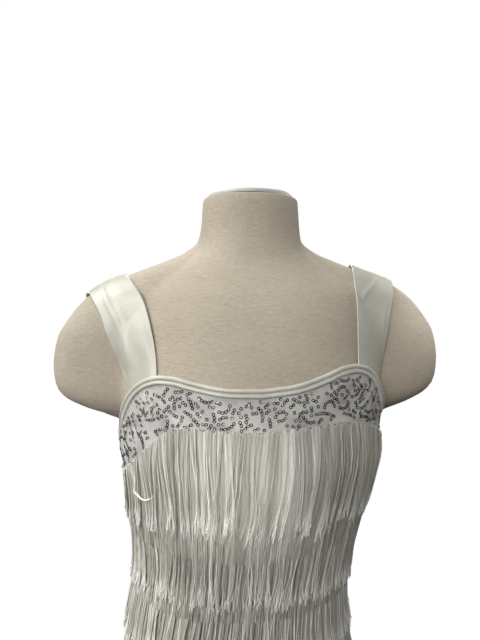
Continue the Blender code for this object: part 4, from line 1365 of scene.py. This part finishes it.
# %% header tapes
TAPE_SIDES, TAPE_WALL, TAPE_CUT = 120, 0.35, 0.010
TAPE_SECTION = ((0.0, 0.0), (0.3, 0.4), (HEADER_HEIGHT - 0.3, 0.4), (HEADER_HEIGHT, 0.0))

for index, made in enumerate(fringe_rows):
    turn = np.linspace(0, 360, TAPE_SIDES, endpoint=False)
    top = fringe_root(index, turn)
    rows = [dress_points(turn, top - drop, CLOTH_OUT + FRINGE_GAP + rise)
            for drop, rise in TAPE_SECTION]
    tape = cloth_piece(f"header_{index + 1}", np.array(rows), stretch, TAPE_WALL, closed=True)
    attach(tape, "root")
    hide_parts(f"fringe_row_{index + 1}")
    length_round(index) * MM
print("headers sewn on")

# %% [markdown]
# ## Seams
#
# The fringe is overlocked to the yoke: short leaning stitches cross the seam, brightest down
# the steep part by the wearer's right arm. The hem is turned up under two rows of stitches.

# %% seam stitches
SEAM_ABOVE, SEAM_OUT, HEM_OUT = 0.6, 2.6, 0.12
HEM_ROWS = {"upper": HEM_Z + 13, "lower": HEM_Z + 10}

for side, (first, last) in HALVES.items():
    turns = even_turns(first, last, 700, seam_height)
    bottom = seam_height(turns)
    seam = dress_points(turns, bottom + SEAM_ABOVE, CLOTH_OUT + FRINGE_GAP + SEAM_OUT)
    stitch_line(
        "seam_stitches", side, seam, outward_of(turns, bottom, CLOTH_OUT))

for name, height in HEM_ROWS.items():
    turns = np.linspace(0, 360, 900)
    line = dress_points(turns, height + 0 * turns, CLOTH_OUT + HEM_OUT)
    stitch_line(
        "hem_stitches", name, line, outward_of(turns, height + 0 * turns, CLOTH_OUT))

for side, piece in sheaths.items():
    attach(piece, "root")
    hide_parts(f"sheath_{side}")

# %% [markdown]
# ## A loose loop
#
# One lock of the first row has slipped and hangs as a loop near the wearer's right side. It is
# a short twisted hank, drawn as a smooth line just outside the other threads.

# %% the loose loop
LOOP = [  # turn, height, and millimetres out from the form
    (145.3, 545, 6.6), (145.6, 538, 7.4), (146.6, 531.5, 8.2), (147.2, 527.6, 8.8),
    (146.2, 525.4, 9.0), (144.2, 524.2, 8.8), (142.6, 522.8, 8.8), (141.0, 522.0, 9.0),
    (138.6, 522.0, 9.0), (136.0, 523.6, 8.6), (133.9, 526.2, 7.8), (133.0, 529.5, 6.8),
]
LOOP_POINTS, LOOP_THREADS, LOOP_THICKNESS, LOOP_TWIST, LOOP_SPREAD = 60, 5, 0.62, 5, 0.42
HANK_UP, HANK_SIDES, HANK_TAPER = (0.3, 0.2, 0.93), 6, 5


def smooth_line(points, count):
    """More points along the same line, rounded through them."""
    points = np.array(points, float)
    k = np.linspace(0, len(points) - 1.001, count)
    i, t = k.astype(int), (k - k.astype(int))[:, None]
    a, b = points[np.maximum(i - 1, 0)], points[i]
    c, d = points[i + 1], points[np.minimum(i + 2, len(points) - 1)]
    return 0.5 * (2 * b + (c - a) * t + (2 * a - 5 * b + 4 * c - d) * t ** 2
                  + (3 * b - a - 3 * c + d) * t ** 3)


def hank(name, lines, thickness, finish):
    """Several threads that follow one line, as closed tubes in one mesh."""
    wires = []
    for line in lines:
        ways = unit(np.gradient(line, axis=0))
        side = unit(np.cross(ways, HANK_UP))
        other = np.cross(ways, side)
        from_start = np.arange(len(line))
        taper = np.minimum(1, np.minimum(from_start, from_start[::-1]) / HANK_TAPER + 0.05)
        turn = np.linspace(0, 2 * math.pi, HANK_SIDES, endpoint=False)
        wires.append(line[:, None] + (side[:, None] * np.cos(turn)[None, :, None]
                     + other[:, None] * np.sin(turn)[None, :, None])
                     * (thickness / 2 * MM * taper)[:, None, None])
    verts, faces = [], []
    for wire in wires:
        start, (rows, columns) = len(verts), wire.shape[:2]
        verts += wire.reshape(-1, 3).tolist()
        for r in range(rows - 1):
            for c in range(columns):
                a, b = start + r * columns + c, start + r * columns + (c + 1) % columns
                faces.append((a, b, b + columns, a + columns))
        faces.append(tuple(range(start + columns - 1, start - 1, -1)))
        faces.append(tuple(range(start + (rows - 1) * columns, start + rows * columns)))
    mesh = bpy.data.meshes.new(name)
    mesh.from_pydata(verts, [], faces)
    mesh.shade_smooth()
    tone_and_painted_glints = mesh.attributes.new("tone_and_painted_glints", "FLOAT", "POINT")
    tone_and_painted_glints.data.foreach_set("value", [1.0] * len(verts))
    mesh.materials.append(finish)
    return put_in_scene(name, mesh)


loop_line = smooth_line([dress_points(*row) for row in LOOP], LOOP_POINTS)
spread = 0.35 + 0.65 * np.sin(np.linspace(0, math.pi, LOOP_POINTS))[:, None]
loop_lines = []
for k in range(LOOP_THREADS):
    twist = np.linspace(0, LOOP_TWIST, LOOP_POINTS) + k * 2 * math.pi / LOOP_THREADS
    round_it = np.stack([np.cos(twist), 0.5 * np.sin(twist), np.sin(twist)], axis=1)
    loop_lines.append(loop_line + MM * LOOP_SPREAD * round_it * spread)
loose_loop = hank("loose_loop", loop_lines, LOOP_THICKNESS, fringe_finish)
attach(loose_loop, "root")
print("loose loop:", len(loose_loop.data.polygons), "faces")

# %% [markdown]
# ## Light and floor
#
# Two wide soft lamps stand on the left, one high and one like a window. Two more, behind and on
# the right, keep the back and the far side readable. Soft spots pick out the chest, the middle of
# the first row of fringe, the left flank, the right shoulder, the skirt and the back. Their edges
# fade, so the right side of the middle rows stays in shade. A weak sky fills the shadows. The
# floor glows with painted light, full white far off and dimmer near the stand, so it looks plain
# and pale. It gives no light back.

# %% lights
LAMPS = [  # name, place, size and power
    ("high_left", (-1.33, -0.19, 2.07), 0.9, 24.5), ("window", (-1.17, -1.39, 1.43), 0.9, 10.0),
    ("behind", (0.0, 1.15, 2.22), 1.2, 25.0), ("right_back", (1.66, 0.45, 1.38), 1.2, 11.0),
]
SPOTS = [  # name, place, target, cone in degrees, size of the source and power
    ("chest", (-0.38, -1.49, 1.37), (-0.015, -0.08, 0.66), 25, 0.12, 44.0),
    ("first_row", (-0.275, -1.535, 0.842), (-0.022, -0.09, 0.535), 5.0, 0.03, 64.0),
    ("flank", (-1.39, -0.96, 0.67), (-0.12, -0.03, 0.44), 14, 0.12, 62.0),
    ("shoulder", (0.72, -1.42, 1.20), (0.186, -0.03, 0.690), 5.0, 0.03, 62.0),
    ("skirt", (-0.75, -1.60, 0.80), (-0.02, -0.07, 0.225), 10.5, 0.03, 42.0),
    ("back", (-0.55, 1.75, 0.95), (0.0, 0.07, 0.42), 27, 0.10, 42.0),
]
LAMPS_TARGET, LAMP_COLOUR = (0, 0, 0.58), (1.0, 0.992, 0.975)
SKY_SHADE = 0.09


def hang_lamp(name, kind, where, target, power):
    """A lamp that looks from one place at another."""
    lamp = bpy.data.lights.new(name, kind)
    lamp.energy, lamp.color = power, LAMP_COLOUR
    holder = put_in_scene(name, lamp)
    holder.location = where
    aim = Vector(target) - Vector(where)
    holder.rotation_euler = aim.to_track_quat("-Z", "Y").to_euler()
    return lamp


for name, where, across, power in LAMPS:
    hang_lamp(name, "AREA", where, LAMPS_TARGET, power).size = across
for name, where, target, cone, soft, power in SPOTS:
    lamp = hang_lamp(name, "SPOT", where, target, power)
    lamp.spot_size, lamp.spot_blend, lamp.shadow_soft_size = math.radians(cone), 1.0, soft

world = bpy.data.worlds.new("studio")
world.use_nodes = True
scene.world = world
sky = world.node_tree
background = sky.nodes["Background"]
seen = node(sky, "ShaderNodeLightPath").outputs["Is Camera Ray"]
shade = node(sky, "ShaderNodeMix", {
    "Factor": seen, 6: (*[SKY_SHADE] * 3, 1), 7: (1.0, 1.0, 1.0, 1)}, data_type="RGBA")
sky.links.new(shade.outputs[2], background.inputs["Color"])
scene.view_settings.view_transform = "Standard"

# %% floor
FLOOR_REACH, FLOOR_BELOW = 60, 0.0005

floor_mesh = bpy.data.meshes.new("floor")
corners = [(x * FLOOR_REACH, y * FLOOR_REACH, 0) for x, y in ((-1, -1), (1, -1), (1, 1), (-1, 1))]
floor_mesh.from_pydata(corners, [], [(0, 1, 2, 3)])
floor = put_in_scene("floor", floor_mesh)
floor.location.z = -FLOOR_BELOW
floor.visible_diffuse = floor.visible_glossy = False
pale, tree, shader = new_finish("pale_floor", (0.20, 0.20, 0.198), roughness=0.9)
# The floor is painted light: its emission is full white far off and dimmer near the stand.
shader.inputs["Emission Strength"].default_value = 1.0
away = vector_calc(tree, "LENGTH", own_space(tree)).outputs["Value"]
glow = node(tree, "ShaderNodeMapRange", {
    "Value": away, "From Min": 0.2, "From Max": 2.5, "To Min": 0.8, "To Max": 1.0})
tree.links.new(xyz(tree, glow, glow, glow).outputs[0], shader.inputs["Emission Color"])
floor_mesh.materials.append(pale)
